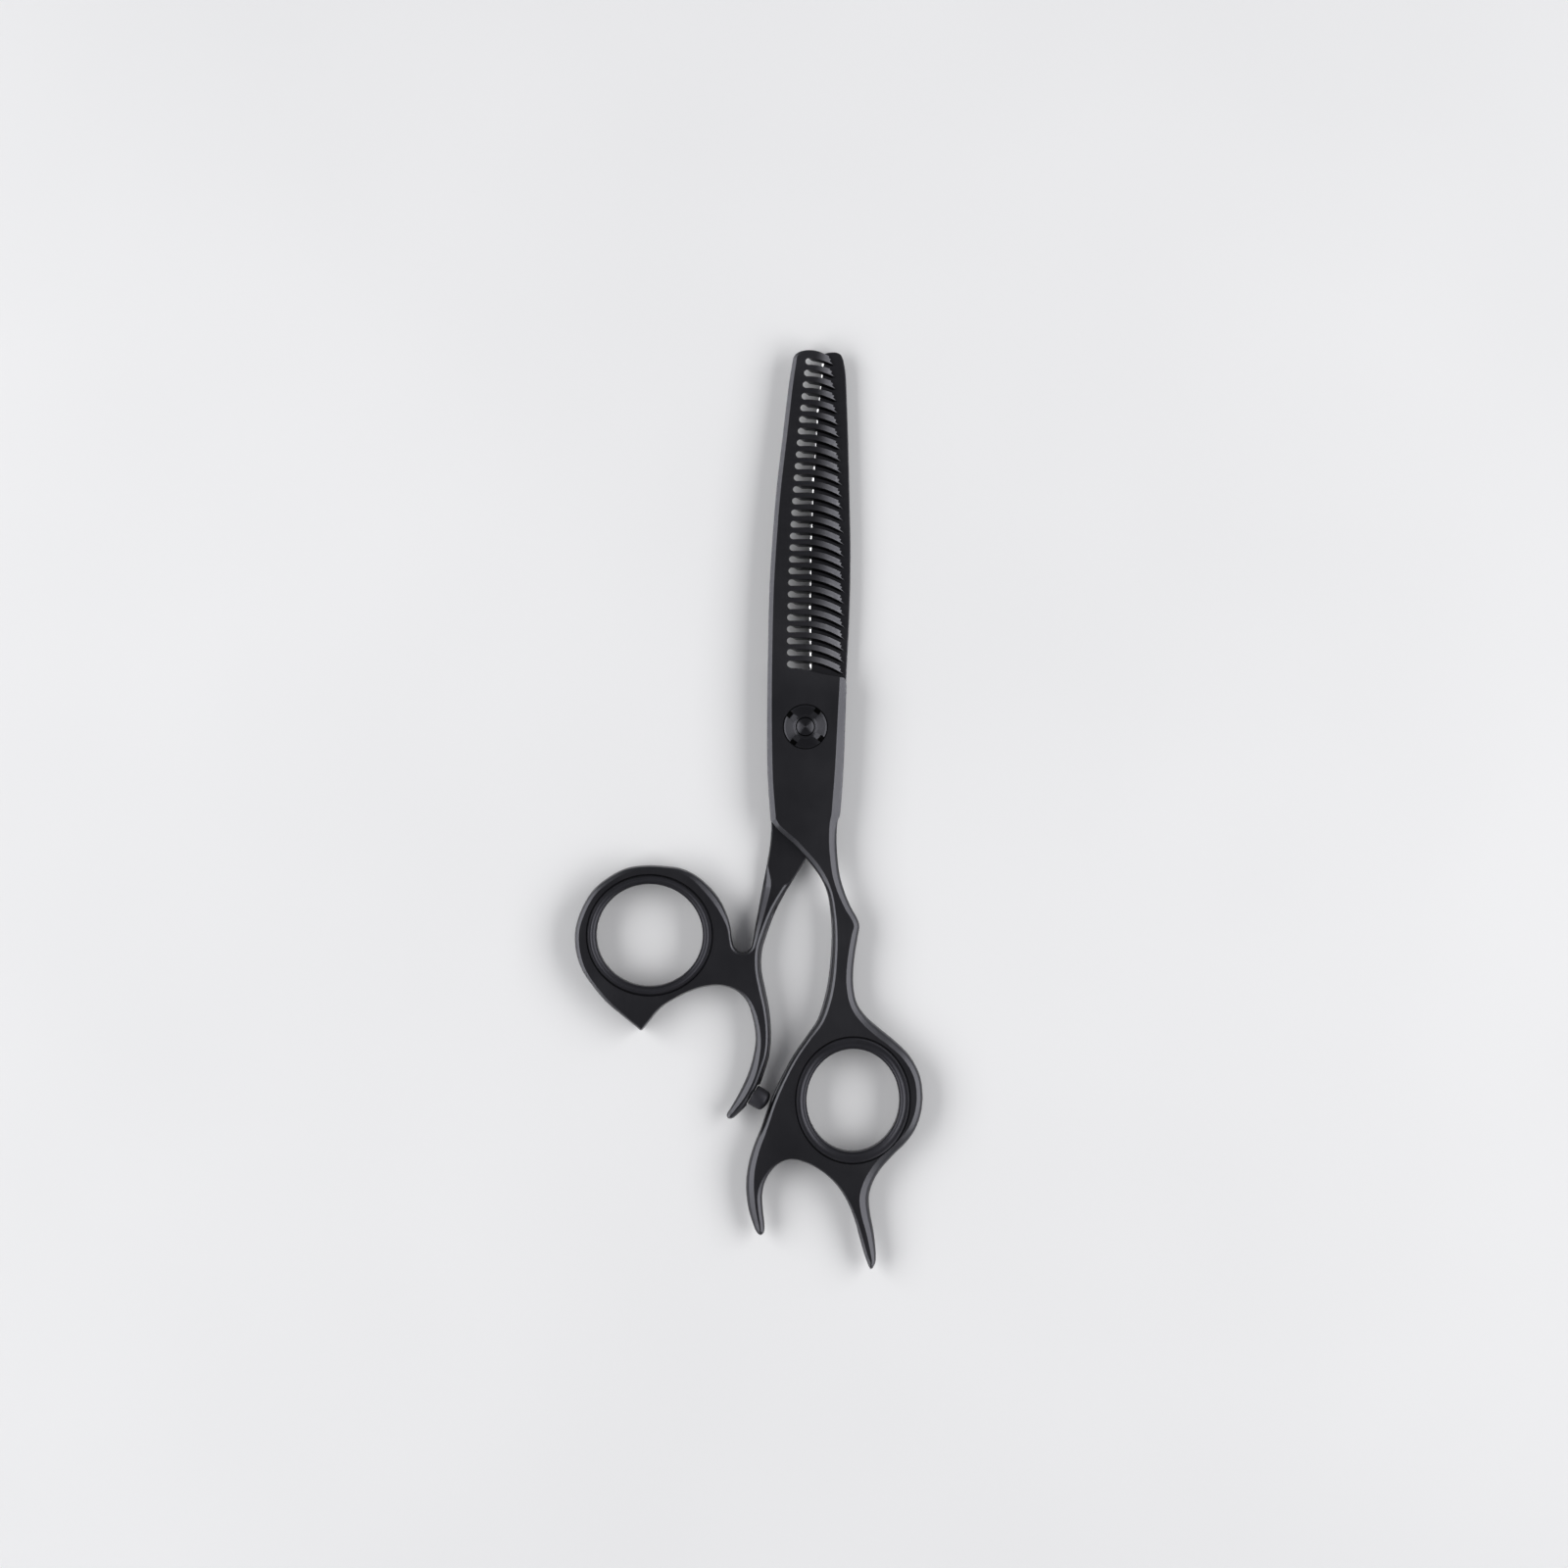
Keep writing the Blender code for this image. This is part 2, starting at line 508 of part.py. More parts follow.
def make_halves(parts, coat):
    """The two blades and the two handles, before any hole is cut."""
    rows = [(float(line_x(POINT_LINE, y)) - s, y)
            for y in np.arange(12.5, 70, 6.0) for s in (10.5, 9.0)]
    sides, loop = comb_outline()
    points = inner_points(sides, loop, rows)
    comb = half_mesh("comb", loop, points, lambda p: comb_faces(p, sides), 1)
    rows = [(float(line_x(CUTTING_LINE, y)) + s, y) for y in np.arange(12.0, 70, BLADE_STEP)
            for s in (0.8, 2.0, 3.4)]
    sides, loop = plain_outline()
    points = inner_points(sides, loop, rows)
    plain = half_mesh("plain", loop, points, lambda p: plain_faces(p, sides), -1)
    pieces = [("comb_blade", comb, COMB_WELD, 1), ("finger_handle", comb, COMB_WELD, -1),
              ("plain_blade", plain, PLAIN_WELD, 1), ("thumb_handle", plain, PLAIN_WELD, -1)]
    return {name: add(name, part_of(mesh, name, weld, side), coat, parts)
            for name, mesh, weld, side in pieces}


def make_pivot(halves, parts, cutters, coat, nylon):
    """The stud, its bush and the two washers, with their seats in the blades."""
    outer_top = PARTING + RICASSO
    floor = outer_top - DIAL_RECESS
    shoulder = DIAL_BOTTOM - FIT
    stud = lathe("pivot_stud", [
        (0, DIAL_TOP), (0.8, DIAL_TOP - 0.04), (1.35, DIAL_TOP - 0.2), (THREAD_R, DIAL_TOP - 0.5),
        (THREAD_R, DIAL_BOTTOM), (STUD_R, shoulder), (STUD_R, STUD_HEAD),
        (STUD_HEAD_R, STUD_HEAD), (STUD_HEAD_R, 0.25), (STUD_HEAD_R - 0.25, 0), (0, 0)],
        coat, parts)
    for side in (-1, 1):
        near, far = side * STUD_FLAT, side * (STUD_FLAT + 2)
        cut(stud, prism(f"stud_flat_{side}", [(near, -3), (far, -3), (far, 3), (near, 3)],
                        STUD_HEAD, shoulder, None, cutters))
    key = double_d(STUD_R + FIT, STUD_FLAT + FIT)
    cut(halves["plain_blade"], prism("stud_hole", key, -1, PARTING + 1, None, cutters))
    head_seat = [(0, STUD_HEAD + FIT), (STUD_HEAD_R + FIT, STUD_HEAD + FIT),
                 (STUD_HEAD_R + FIT, -1), (0, -1)]
    cut(halves["plain_blade"], lathe("head_seat", head_seat, None, cutters))

    seat, depth = BLADE_WASHER_R + FIT, WASHER_HALF + FIT
    for half, name, high, low in (("plain_blade", "lower_washer_seat", 0, -depth),
                                  ("comb_blade", "upper_washer_seat", depth, 0)):
        cut(halves[half], lathe(name, [(0, PARTING + high), (seat, PARTING + high),
                                       (seat, PARTING + low), (0, PARTING + low)], None, cutters))
    bore = BUSH_R + 0.05
    cut(halves["comb_blade"], lathe("bush_bore", [(0, outer_top), (bore, outer_top), (bore, PARTING),
                                                  (0, PARTING)], None, cutters))
    cut(halves["comb_blade"], lathe("dial_seat", [
        (0, outer_top + 1), (DIAL_RECESS_R, outer_top + 1), (DIAL_RECESS_R, floor), (0, floor)],
        None, cutters, steps=64))

    def ring(name, inner, outer, high, low):
        return lathe(name, [(inner, high), (outer, high), (outer, low), (inner, low)],
                     nylon, parts, closed=True)

    washer = ring("blade_washer", STUD_R + FIT, BLADE_WASHER_R, PARTING + WASHER_HALF,
                  PARTING - WASHER_HALF)
    bush = ring("pivot_bush", STUD_R + 0.06, BUSH_R, floor, PARTING + depth)
    low = floor + WASHER_GAP
    thrust = ring("thrust_washer", STUD_R + FIT, DIAL_RECESS_R - 0.2, low + THRUST_WASHER, low)
    return stud, washer, bush, thrust


def make_click_spring(parts, cutters, steel):
    """A springy plate keyed to the stud's flats, with four lobes under the dial."""
    low = PARTING + RICASSO - DIAL_RECESS + 2 * WASHER_GAP + THRUST_WASHER
    outline = []
    for angle in np.radians(np.arange(0, 360, 7.5)):
        radius = 3.2 + 0.55 * math.cos(4 * angle)
        outline.append((radius * math.cos(angle), radius * math.sin(angle)))
    spring = prism("click_spring", outline, low, DIAL_BOTTOM - FIT, steel, parts)
    cut(spring, prism("spring_hole", double_d(STUD_R + FIT, STUD_FLAT + FIT), low - 1,
                      DIAL_BOTTOM + 1, None, cutters))
    return spring


def make_dial(parts, cutters, coat):
    """The tension dial: a low cone with a lip round the stud and four key notches."""
    dial = lathe("tension_dial", [
        (DIAL_HOLE_R, DIAL_TOP - 0.02), (DIAL_HOLE_R + 0.28, DIAL_TOP - 0.02),
        (DIAL_HOLE_R + 0.38, DIAL_TOP - 0.12), (DIAL_R - 0.35, DIAL_TOP - 0.38),
        (DIAL_R - 0.1, DIAL_TOP - 0.5), (DIAL_R, DIAL_TOP - 0.68), (DIAL_R, DIAL_BOTTOM),
        (DIAL_HOLE_R, DIAL_BOTTOM)], coat, parts, steps=64, closed=True)
    for n in range(4):
        for name, near, far, wide, low in (("step", 2.35, 3.4, 0.57, 5.85),
                                           ("gate", 3.3, 5.0, 0.62, 5.45)):
            notch = prism(f"notch_{name}_{n}", [(near, -wide), (far, -wide), (far, wide), (near, wide)],
                          low, DIAL_TOP + 1, None, cutters)
            cut(dial, place(notch, turn=NOTCH_ANGLE + 90 * n))
    return dial


def make_insert(name, handle, centre, oval, face, lean, parts, cutters, rubber):
    """A finger ring's rubber insert, a spool that grips the ring's rim."""
    rx, ry = oval
    mean = (rx + ry) / 2
    wall, lip = mean + INSERT_WALL, mean + face
    seat = HANDLE - REBATE
    scale = (rx / mean, ry / mean)
    section = [(mean + 0.6 * face, INSERT_HALF), (lip - 0.3, INSERT_HALF - 0.2), (lip, seat + 0.45),
               (lip, seat + FIT), (wall, seat + FIT)]
    profile = section + [(r, -z) for r, z in reversed(section)]
    profile += [(mean + 0.2, -INSERT_HALF + 0.45), (mean, -1.2), (mean, 1.2),
                (mean + 0.2, INSERT_HALF - 0.45)]
    insert = lathe(name, profile, rubber, parts, steps=48, scale=scale, closed=True)
    place(insert, *centre, PARTING, lean)
    hole = wall + FIT
    steps = [(0, 5), (lip + FIT, 5), (lip + FIT, seat), (hole, seat)]
    cutter = lathe(name + "_seat", steps + [(r, -z) for r, z in reversed(steps)], None, cutters,
                   steps=48, scale=scale)
    cut(handle, place(cutter, *centre, PARTING, lean))
    return insert


def make_bumper(handle, parts, cutters, rubber, steel):
    """The rubber bumper that stops the handles, and the threaded stud that holds it."""
    turn = Matrix.Rotation(math.radians(BUMPER_ANGLE), 4, "Z") @ Matrix.Rotation(math.pi / 2, 4, "Y")
    frame = Matrix.Translation((BUMPER_SEAT[0] * MM, BUMPER_SEAT[1] * MM, PARTING * MM)) @ turn
    bore, depth = BUMPER_STUD_R + 0.05, 1.3
    pad = lathe("bumper_pad", [
        (0, BUMPER_LENGTH), (0.8, BUMPER_LENGTH - 0.1), (1.45, BUMPER_LENGTH - 0.4),
        (BUMPER_R - 0.12, BUMPER_LENGTH - 0.85), (BUMPER_R, 0.1), (bore, 0.1), (bore, depth),
        (0, depth)], rubber, parts, steps=32)
    stud = lathe("bumper_stud", [(0, depth - 0.05), (BUMPER_STUD_R, depth - 0.05),
                                 (BUMPER_STUD_R, -1.35), (0, -1.35)], steel, parts, steps=20)
    seat = lathe("bumper_seat", [(0, 3), (BUMPER_R + FIT, 3), (BUMPER_R + FIT, 0), (0, 0)],
                 None, cutters, steps=32)
    hole = lathe("bumper_hole", [(0, 1), (bore, 1), (bore, -1.45), (0, -1.45)],
                 None, cutters, steps=20)
    for obj in (pad, stud, seat, hole):
        obj.matrix_world = frame
    cut(handle, seat)
    cut(handle, hole)
    return pad, stud


def main():
    clear_scene()
    parts = collection("thinning_shears")
    cutters = collection("cutters", hidden=True)
    coat = material("black_coating", COATING, 0.35, 0.9)
    steel = material("spring_steel", STEEL, 0.3, 1.0)
    rubber = material("black_rubber", RUBBER, 0.6, 0.0)
    nylon = material("nylon", NYLON, 0.5, 0.0)
    halves = make_halves(parts, coat)
    stud, washer, bush, thrust = make_pivot(halves, parts, cutters, coat, nylon)
    spring = make_click_spring(parts, cutters, steel)
    dial = make_dial(parts, cutters, coat)
    thumb = make_insert("thumb_insert", halves["thumb_handle"], THUMB_RING, THUMB_OVAL,
                        THUMB_LIP, 0.0, parts, cutters, rubber)
    finger = make_insert("finger_insert", halves["finger_handle"], FINGER_RING, FINGER_OVAL,
                         FINGER_LIP, FINGER_LEAN, parts, cutters, rubber)
    pad, screw = make_bumper(halves["thumb_handle"], parts, cutters, rubber, steel)
    hang("finger_half", parts, halves["comb_blade"], halves["finger_handle"], finger, bush)
    hang("thumb_half", parts, halves["plain_blade"], halves["thumb_handle"], thumb, pad, screw,
         stud, washer, thrust, spring)
    hang("dial", parts, dial)


main()
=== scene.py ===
"""Thinning shears: the visual model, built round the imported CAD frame.

Each half is one outline in plan with a fine height field on both faces, so that
its grinds, rounded edges and teeth are real geometry. The turned parts, rubber
inserts and bumper are finer versions of the CAD solids.
"""

import math

import bmesh
import bpy
import numpy as np
from mathutils import Matrix, Vector
from mathutils.geometry import delaunay_2d_cdt
from mathutils.kdtree import KDTree


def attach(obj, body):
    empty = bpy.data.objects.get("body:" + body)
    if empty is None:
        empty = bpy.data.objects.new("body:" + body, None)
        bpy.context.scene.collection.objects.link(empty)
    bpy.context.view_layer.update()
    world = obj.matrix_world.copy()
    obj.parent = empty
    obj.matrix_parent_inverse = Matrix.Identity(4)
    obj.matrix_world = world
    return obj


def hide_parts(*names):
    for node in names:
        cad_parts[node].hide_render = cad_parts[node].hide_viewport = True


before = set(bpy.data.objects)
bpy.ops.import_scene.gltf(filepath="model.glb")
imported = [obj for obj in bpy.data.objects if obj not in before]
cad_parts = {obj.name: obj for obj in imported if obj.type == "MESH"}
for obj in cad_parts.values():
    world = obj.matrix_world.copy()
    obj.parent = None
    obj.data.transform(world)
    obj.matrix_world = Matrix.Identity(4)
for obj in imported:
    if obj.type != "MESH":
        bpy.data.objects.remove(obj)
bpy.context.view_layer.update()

# Dimensions in millimetres, the same as the CAD's. MM turns them into metres.
MM = 0.001
PARTING = 3.0  # height of the plane that the two halves ride on
RIDE_GAP = 0.1  # how far each ride face stands off it
RICASSO = 2.8  # a half round the pivot
BLADE_TIP = 1.45
HANDLE = 2.5  # half a handle's thickness
TANG_END = 1.25  # the same at the end of a tang or hook
CUTTING_EDGE = 0.15
TOOTH_TIP = 0.5
BEVEL_WIDTH = 5.0  # the grind behind the cutting edge
TOOTH_SLOPE = 3.5  # how long the teeth's slope is for its depth
TOOTH_CURVE = 1.6
TIP_Y = 71.0
HEEL_Y = 9.3
RING_X = -12.0  # everything left of this is thumb ring
BLADE_END, HANDLE_START = -16, -34  # between these a blade turns into a handle
RIDE_END, RISE_RUN = -30.0, 13.0  # where a handle's inner side starts to rise, and its run

SLOTS = 27
SLOT_PITCH = 2.197
FIRST_SLOT_Y = 11.8
SLOT_HALF_ROOT, SLOT_HALF_TIP = 0.64, 0.5
TOOTH_DROOP, TOOTH_RAKE = 0.04, 0.79

STUD_HEAD_R = 4.0
STUD_HEAD = 1.2
STUD_R = 1.95
THREAD_R = 1.65
BUTTON_R = 1.74
DIAL_R = 4.0
DIAL_RECESS_R = 4.2
DIAL_RECESS = 1.45
DIAL_HOLE_R = 1.85
DIAL_BOTTOM = 5.2
DIAL_TOP = 6.5
NOTCH_ANGLE = 52.4
BUSH_R = 2.9
WASHER_SEAT_R = 4.6
WASHER_SEAT = 0.35
FIT = 0.1

THUMB_RING = (-29.38, -39.3)
THUMB_OVAL = (10.02, 9.62)
THUMB_LIP = 1.78
FINGER_RING = (8.96, -70.42)
FINGER_OVAL = (8.75, 9.67)
FINGER_LIP = 2.13
FINGER_LEAN = -2.5
INSERT_WALL = 0.95
INSERT_HALF = 3.0
REBATE = 0.75

BUMPER_SEAT = (-9.99, -69.32)
BUMPER_ANGLE = -31.0
BUMPER_R = 2.0
BUMPER_LENGTH = 3.35

# Outlines in plan, from the pivot axis. Each is a smooth run, and the third number is
# the width of the rounding or chamfer along that edge.
COMB_SPINE = [
    (-2.3, 69.6, 0.7), (-3, 65.3, 0.75), (-4.3, 54.6, 0.8), (-5.4, 45.2, 0.8), (-6.2, 35.5, 0.8),
    (-6.76, 26, 0.8), (-7.05, 14, 0.8), (-7.2, 4, 0.85), (-7.22, -4, 0.95), (-7.05, -10.5, 0.95),
    (-6.55, -17.6, 1)]
COMB_INSIDE = [
    (-6.55, -17.6, 1), (-5.5, -19, 0.8), (-4.15, -20.4, 0.9), (-2.4, -22.05, 1),
    (-0.7, -23.85, 1), (1.5, -26.5, 1.1), (3, -28.7, 1), (4.1, -31.3, 0.95), (4.75, -35.2, 1),
    (4.95, -39.3, 1.1), (4.8, -43, 1.2), (4.35, -47.5, 1.3), (3.6, -51.2, 1.35),
    (2.3, -55.2, 1.2), (0.1, -58.5, 1), (-2.3, -62, 1), (-4.5, -66.1, 1), (-6.5, -70.4, 1.1),
    (-8.4, -75.7, 1.2), (-9.9, -79.5, 1.3), (-10.9, -83.3, 1.4), (-11.2, -86.8, 1.5),
    (-10.8, -90.7, 1.4), (-10, -93.5, 1.1)]
FINGER_HOOK_END = [(-9.2, -95.4, 0.8), (-8.45, -96, 0.7), (-7.8, -95.4, 0.7)]
FINGER_ARCH = [
    (-7.7, -94, 0.8), (-8, -91.1, 0.9), (-8.1, -88.1, 0.9), (-7.4, -85.4, 0.65),
    (-5.5, -82.8, 0.45), (-3, -81.65, 0.35), (-0.2, -82.1, 0.35), (3, -83.8, 0.35),
    (5.6, -86.1, 0.35), (7.6, -89, 0.4), (9.2, -92.8, 0.5), (10.4, -97.1, 0.6)]
TANG_POINT = [(11.4, -100.4, 0.6), (12.4, -102.4, 0.6), (13.2, -101.2, 0.7)]
FINGER_OUTSIDE = [
    (13.3, -99.3, 1), (12.9, -95.4, 1.4), (12.2, -91.6, 1.7), (12, -88.9, 1.8),
    (12.5, -86.6, 1.7), (13.9, -83.9, 1.6), (16.5, -80.9, 1.5), (19, -78.4, 1.4),
    (20.8, -75.8, 1.3), (21.9, -72.4, 1.2), (22.1, -68.9, 1.15), (21.5, -65.5, 1.2),
    (19.6, -62, 1.3), (16.8, -59.2, 1.4), (13.8, -56.75, 1.5), (11.4, -54.6, 1.4),
    (9.8, -52.3, 1.3), (9.1, -49.3, 1.3), (9.05, -46, 1.3), (9.4, -42.6, 1.25),
    (9.95, -39.3, 1.2), (10.2, -37.6, 1.05), (9.8, -36.2, 1.05), (8.5, -33.8, 1.15),
    (7.3, -30.9, 1.25), (6.5, -28, 1.35), (6.05, -24.5, 1.4), (5.87, -21.5, 1.4),
    (5.95, -18.9, 1.4), (6.15, -17.7, 1.45), (6.5, -16.7, 1.6), (6.85, -13.2, 1.65),
    (7.2, -7.8, 1.6), (7.5, 0, 1.5), (7.67, 5, 1.4), (7.73, 7.9, 1.3)]
HEEL_CORNER = [(7.55, 8.9, 0.9), (7.1, 9.25, 0.4)]
HEEL_LINE = [(6.4, 9.36), (4.5, 9.7), (2.6, 10.06), (0.9, 10.5), (-0.8, 10.9), (-2.7, 11.05)]
COMB_TIP = [
    (4.5, 69.9, 0.2), (3, 70.6, 0.3), (1.6, 70.98, 0.3), (0.3, 71.02, 0.3), (-1, 70.75, 0.35),
    (-1.85, 70.25, 0.5), (-2.3, 69.6, 0.7)]

CUTTING_LINE = [
    (3.4, 70.3, 0), (3.07, 68.1, 0), (2.1, 59.3, 0), (1.28, 46.6, 0), (0.8, 34, 0), (0.66, 22, 0),
    (0.8, 11, 0)]
PLAIN_HEEL = [
    (0.8, 11, 0.3), (0.3, 9.6, 0.6), (-2.3, 8.2, 0.8), (-5, 6.4, 0.8), (-6.5, 3.5, 0.8),
    (-6.95, 0, 0.85), (-6.95, -6, 0.9), (-6.75, -13, 0.9), (-6.45, -18, 1), (-6.6, -21.7, 1.2),
    (-7.2, -25.6, 1.5), (-7.9, -29.3, 1.6), (-8.7, -33.5, 1.4), (-9.45, -37.5, 1),
    (-9.95, -40.5, 0.7), (-10.25, -41.6, 0.6), (-11.1, -42.45, 0.6), (-12.3, -42.5, 0.6),
    (-13.4, -41.6, 0.6), (-13.85, -40.1, 0.5)]
THUMB_OUTSIDE = [
    (-14.1, -38, 0.6), (-14.9, -35.2, 1), (-16.3, -32.4, 1.3), (-18.3, -30, 1.3),
    (-20.9, -27.9, 1), (-23.6, -26.7, 0.8), (-26.5, -26.3, 0.7), (-30, -26.15, 0.7),
    (-33.8, -26.7, 0.8), (-37.3, -28.5, 0.9), (-40.2, -31, 0.9), (-42.3, -34.6, 0.9),
    (-43.4, -38.4, 0.8), (-43.3, -42.2, 0.8), (-42.2, -45.7, 0.7), (-40.2, -48.8, 0.6),
    (-37.4, -52.1, 0.6), (-34.3, -54.7, 0.5), (-31.7, -56.8, 0.5)]
THUMB_CORNER = [(-31, -57.3, 0.45), (-30.4, -56.8, 0.45)]
THUMB_ARCH = [
    (-29.2, -55.3, 0.4), (-27.2, -53, 0.4), (-24.4, -51.2, 0.4), (-21.2, -49.7, 0.4),
    (-18.1, -48.9, 0.4), (-15.5, -48.9, 0.4), (-13, -49.85, 0.5), (-11.15, -51.7, 0.7),
    (-10, -54.7, 0.9), (-9.4, -58.7, 1), (-9.8, -61.9, 1.2), (-10.8, -65.4, 1.4),
    (-12.5, -69.1, 1.3), (-14.1, -71.9, 0.9)]
THUMB_HOOK_END = [(-14.85, -73.2, 0.7), (-14.6, -73.9, 0.6), (-13.9, -73.95, 0.6)]
PLAIN_INSIDE = [
    (-12.6, -73, 0.7), (-10.8, -71.1, 0.9), (-8.9, -68.2, 1.1), (-7.55, -64.7, 1.1),
    (-6.75, -61.8, 1), (-6.45, -58, 1), (-6.8, -53.4, 1.1), (-7.6, -49.3, 1.2),
    (-8.25, -45.8, 1.2), (-8.15, -42.3, 1.25), (-7.2, -39, 1.25), (-5.6, -34.8, 1.15),
    (-3.8, -31.4, 1), (-2.1, -28.6, 0.9), (0.1, -25.1, 0.8)]
PLAIN_DIAGONAL = [
    (0.1, -25.1, 0.8), (1.5, -23.3, 0.8), (3.7, -20.6, 0.8), (5.5, -18.2, 0.8), (6.3, -16.8, 0.8)]
PLAIN_SPINE = [
    (6.3, -16.8, 0.8), (6.6, -14, 0.8), (6.95, -8, 0.8), (7.3, 0, 0.8), (7.6, 6, 0.8),
    (7.9, 12.5, 0.8), (8.3, 20.5, 0.8), (8.5, 28, 0.8), (8.52, 35, 0.8), (8.34, 44, 0.8),
    (8.12, 53.5, 0.8), (7.85, 61.5, 0.8), (7.6, 66.8, 0.7), (7.2, 69.2, 0.5)]
PLAIN_TIP = [
    (7.2, 69.2, 0.5), (6.7, 70.25, 0.4), (5.9, 70.67, 0.35), (5, 70.7, 0.3), (4.2, 70.6, 0.3),
    (3.4, 70.3, 0.2)]
ROOT_LINE = [
    (-3.46, 11.8), (-3.48, 19), (-3.2, 28.5), (-2.85, 37.5), (-2.2, 46.8), (-1.4, 55.9),
    (-0.75, 62.2), (0, 68.9)]  # left ends of the slots
DROOP_LINE = [(-0.55, 11.8), (0.05, 42), (0, 68.9)]  # where a tooth starts to curve
POINT_LINE = [
    (7.35, 9.8), (7.5, 16.5), (7.5, 25), (7.4, 32), (7.2, 38.8), (6.9, 47.7), (6.53, 54.5),
    (5.97, 61.2), (5.3, 68)]  # points of the teeth

# How finely the meshes are made, in millimetres and degrees.
RUN_STEP, SLOT_STEP = 0.42, 0.36
RIDGE = 0.09  # how far either side of a ridge its surface is sampled
BAND_ROWS = (0.32, 0.44, 0.56, 0.68, 0.85)  # rows across an edge, as parts of its width
FLAT_ROW, LEAST_ROW = 0.45, 0.16  # one this far beyond it, and none nearer than this
ROW_SLACK = 0.04  # how far a row may reach into another edge
ROW_APART = 0.1
SLOPE_STEP = 0.03
CORNER_STEPS = 4  # points round each corner of a turned profile
SHARP_ANGLE, HALF_SHARP_ANGLE = 32, 34  # sharper edges than this aren't shaded smooth
SMOOTH_ON_ANGLE = 26  # a wall within this of a face runs smoothly on

# Fine shapes that the CAD doesn't have, in millimetres.
SERRATION = [(-0.82, 0.74), (-0.59, 1.09), (-1.0, 1.31)]  # from a tooth's point up its end
TOOTH_FLANK = 0.45  # how much wider a tooth is at its inner face, below
HONE_WIDTH, HONE_DEPTH = 0.36, 0.14  # the honed strip beside the cutting edge
HONE_START, HONE_END = 10.8, 70.4
# An edge's profile over its width: its slope, its extra depth, and the power of that.
HANDLE_BAND, BLADE_BAND = (0.45, 0.7, 8), (0.58, 0.0, 1)
MOST_ROUNDING = 0.8  # the most an edge falls away, of half the thickness
GRIP_START, COMB_GRIP_END, PLAIN_GRIP_END = 29, 70, 66  # rounder edges, below the pivot
REACH = 2.7  # how far from an edge its shape matters
RING_RIM, PIVOT_RIM = 0.07, 0.06  # chamfers round the holes for the inserts and the pivot
# How far inside the outline a face ends: on a blade, a handle and a cutting edge.
BLADE_CUT, HANDLE_CUT, EDGE_CUT = 0.07, 0.2, 0.05
RIDE_CUT, RIDE_EDGE_CUT = 0.26, 0.02  # the same on the plain half's ride face
# The turn from a face into the wall, as parts of that: the depth of its two rings, and
# how far in the first one stands.
BLADE_TURN, HANDLE_TURN = (0.29, 1.0, 0.29), (2.2, 5.0, 0.45)
NOTCH_RAMP = (2.3, 3.3, 0.57, 6.2, 5.72)  # near, far, half width, height near and far
PIT_FLOOR = 5.3  # height of the floor of the dial's notches
NOTCH_PIT = (3.25, 5.0, 0.6, PIT_FLOOR, PIT_FLOOR - 0.03)
WEAR_SHEEN_FADE, RIDGE_FADE = 0.3, 0.16  # how far the paler coating fades from an edge or ridge: rubbed wear and painted highlight
RIDGE_WEAR_SHEEN, RIM_WEAR_SHEEN, WALL_WEAR_SHEEN, SEAT_WEAR_SHEEN = 0.6, 0.7, 0.8, 0.5  # and how strong it is


def smooth(value, start, end):
    """0 up to start, 1 from end on, an S-curve between."""
    t = np.clip((np.asarray(value, float) - start) / (end - start), 0, 1)
    return t * t * (3 - 2 * t)


def mix(a, b, t):
    return a + (b - a) * t


def line_x(line, y):
    """x on a line that is given by points, at height y."""
    points = np.array(sorted((p[1], p[0]) for p in line))
    return np.interp(y, points[:, 0], points[:, 1])


def run(points, step=RUN_STEP):
    """Points along a smooth centripetal curve through the given ones."""
    p = np.array(points, float)
    p = np.vstack([2 * p[0] - p[1], p, 2 * p[-1] - p[-2]])
    found = []
    for a, b, c, d in zip(p, p[1:], p[2:], p[3:]):
        chord = [math.sqrt(np.linalg.norm(v)) for v in (b - a, c - b, d - c)]
        m1 = (b - a) / chord[0] - (c - a) / (chord[0] + chord[1]) + (c - b) / chord[1]
        m2 = (c - b) / chord[1] - (d - b) / (chord[1] + chord[2]) + (d - c) / chord[2]
        m1, m2 = m1 * chord[1], m2 * chord[1]
        count = max(1, round(float(np.linalg.norm(c - b)) / step))
        for t in np.arange(count) / count:
            h = (2 * t**3 - 3 * t**2 + 1, t**3 - 2 * t**2 + t, 3 * t**2 - 2 * t**3, t**3 - t**2)
            found.append(h[0] * b + h[1] * m1 + h[2] * c + h[3] * m2)
    return found + [p[-2]]


def slot_y(n):
    return FIRST_SLOT_Y + n * SLOT_PITCH


def slot_centre(n, x):
    """Height of slot n's centre line at x."""
    return slot_y(n) - TOOTH_DROOP * np.maximum(0, x - line_x(DROOP_LINE, slot_y(n))) ** 2


def slot_half(n, x):
    """Half the height of slot n at x."""
    root, point = line_x(ROOT_LINE, slot_y(n)), line_x(POINT_LINE, slot_y(n))
    return mix(SLOT_HALF_ROOT, SLOT_HALF_TIP, np.clip((x - root) / (point - root), 0, 1))


def slot_side(n, side, x_end):
    """Points along one side of slot n, from its root to x_end. The third value is 0,
    as a slot has no wide bevel, and the fourth is how far a tooth's flank stands out."""
    start = float(line_x(ROOT_LINE, slot_y(n))) + SLOT_HALF_ROOT
    t = np.linspace(0, 1, max(4, round((x_end - start) / SLOT_STEP)))
    xs = mix(start, x_end, t)
    flank = np.where(side > 0, TOOTH_FLANK * smooth(t, 0, 0.12) * (1 - smooth(t, 0.86, 1)), 0)
    return [(x, slot_centre(n, x) + side * slot_half(n, x), 0, f) for x, f in zip(xs, flank)]


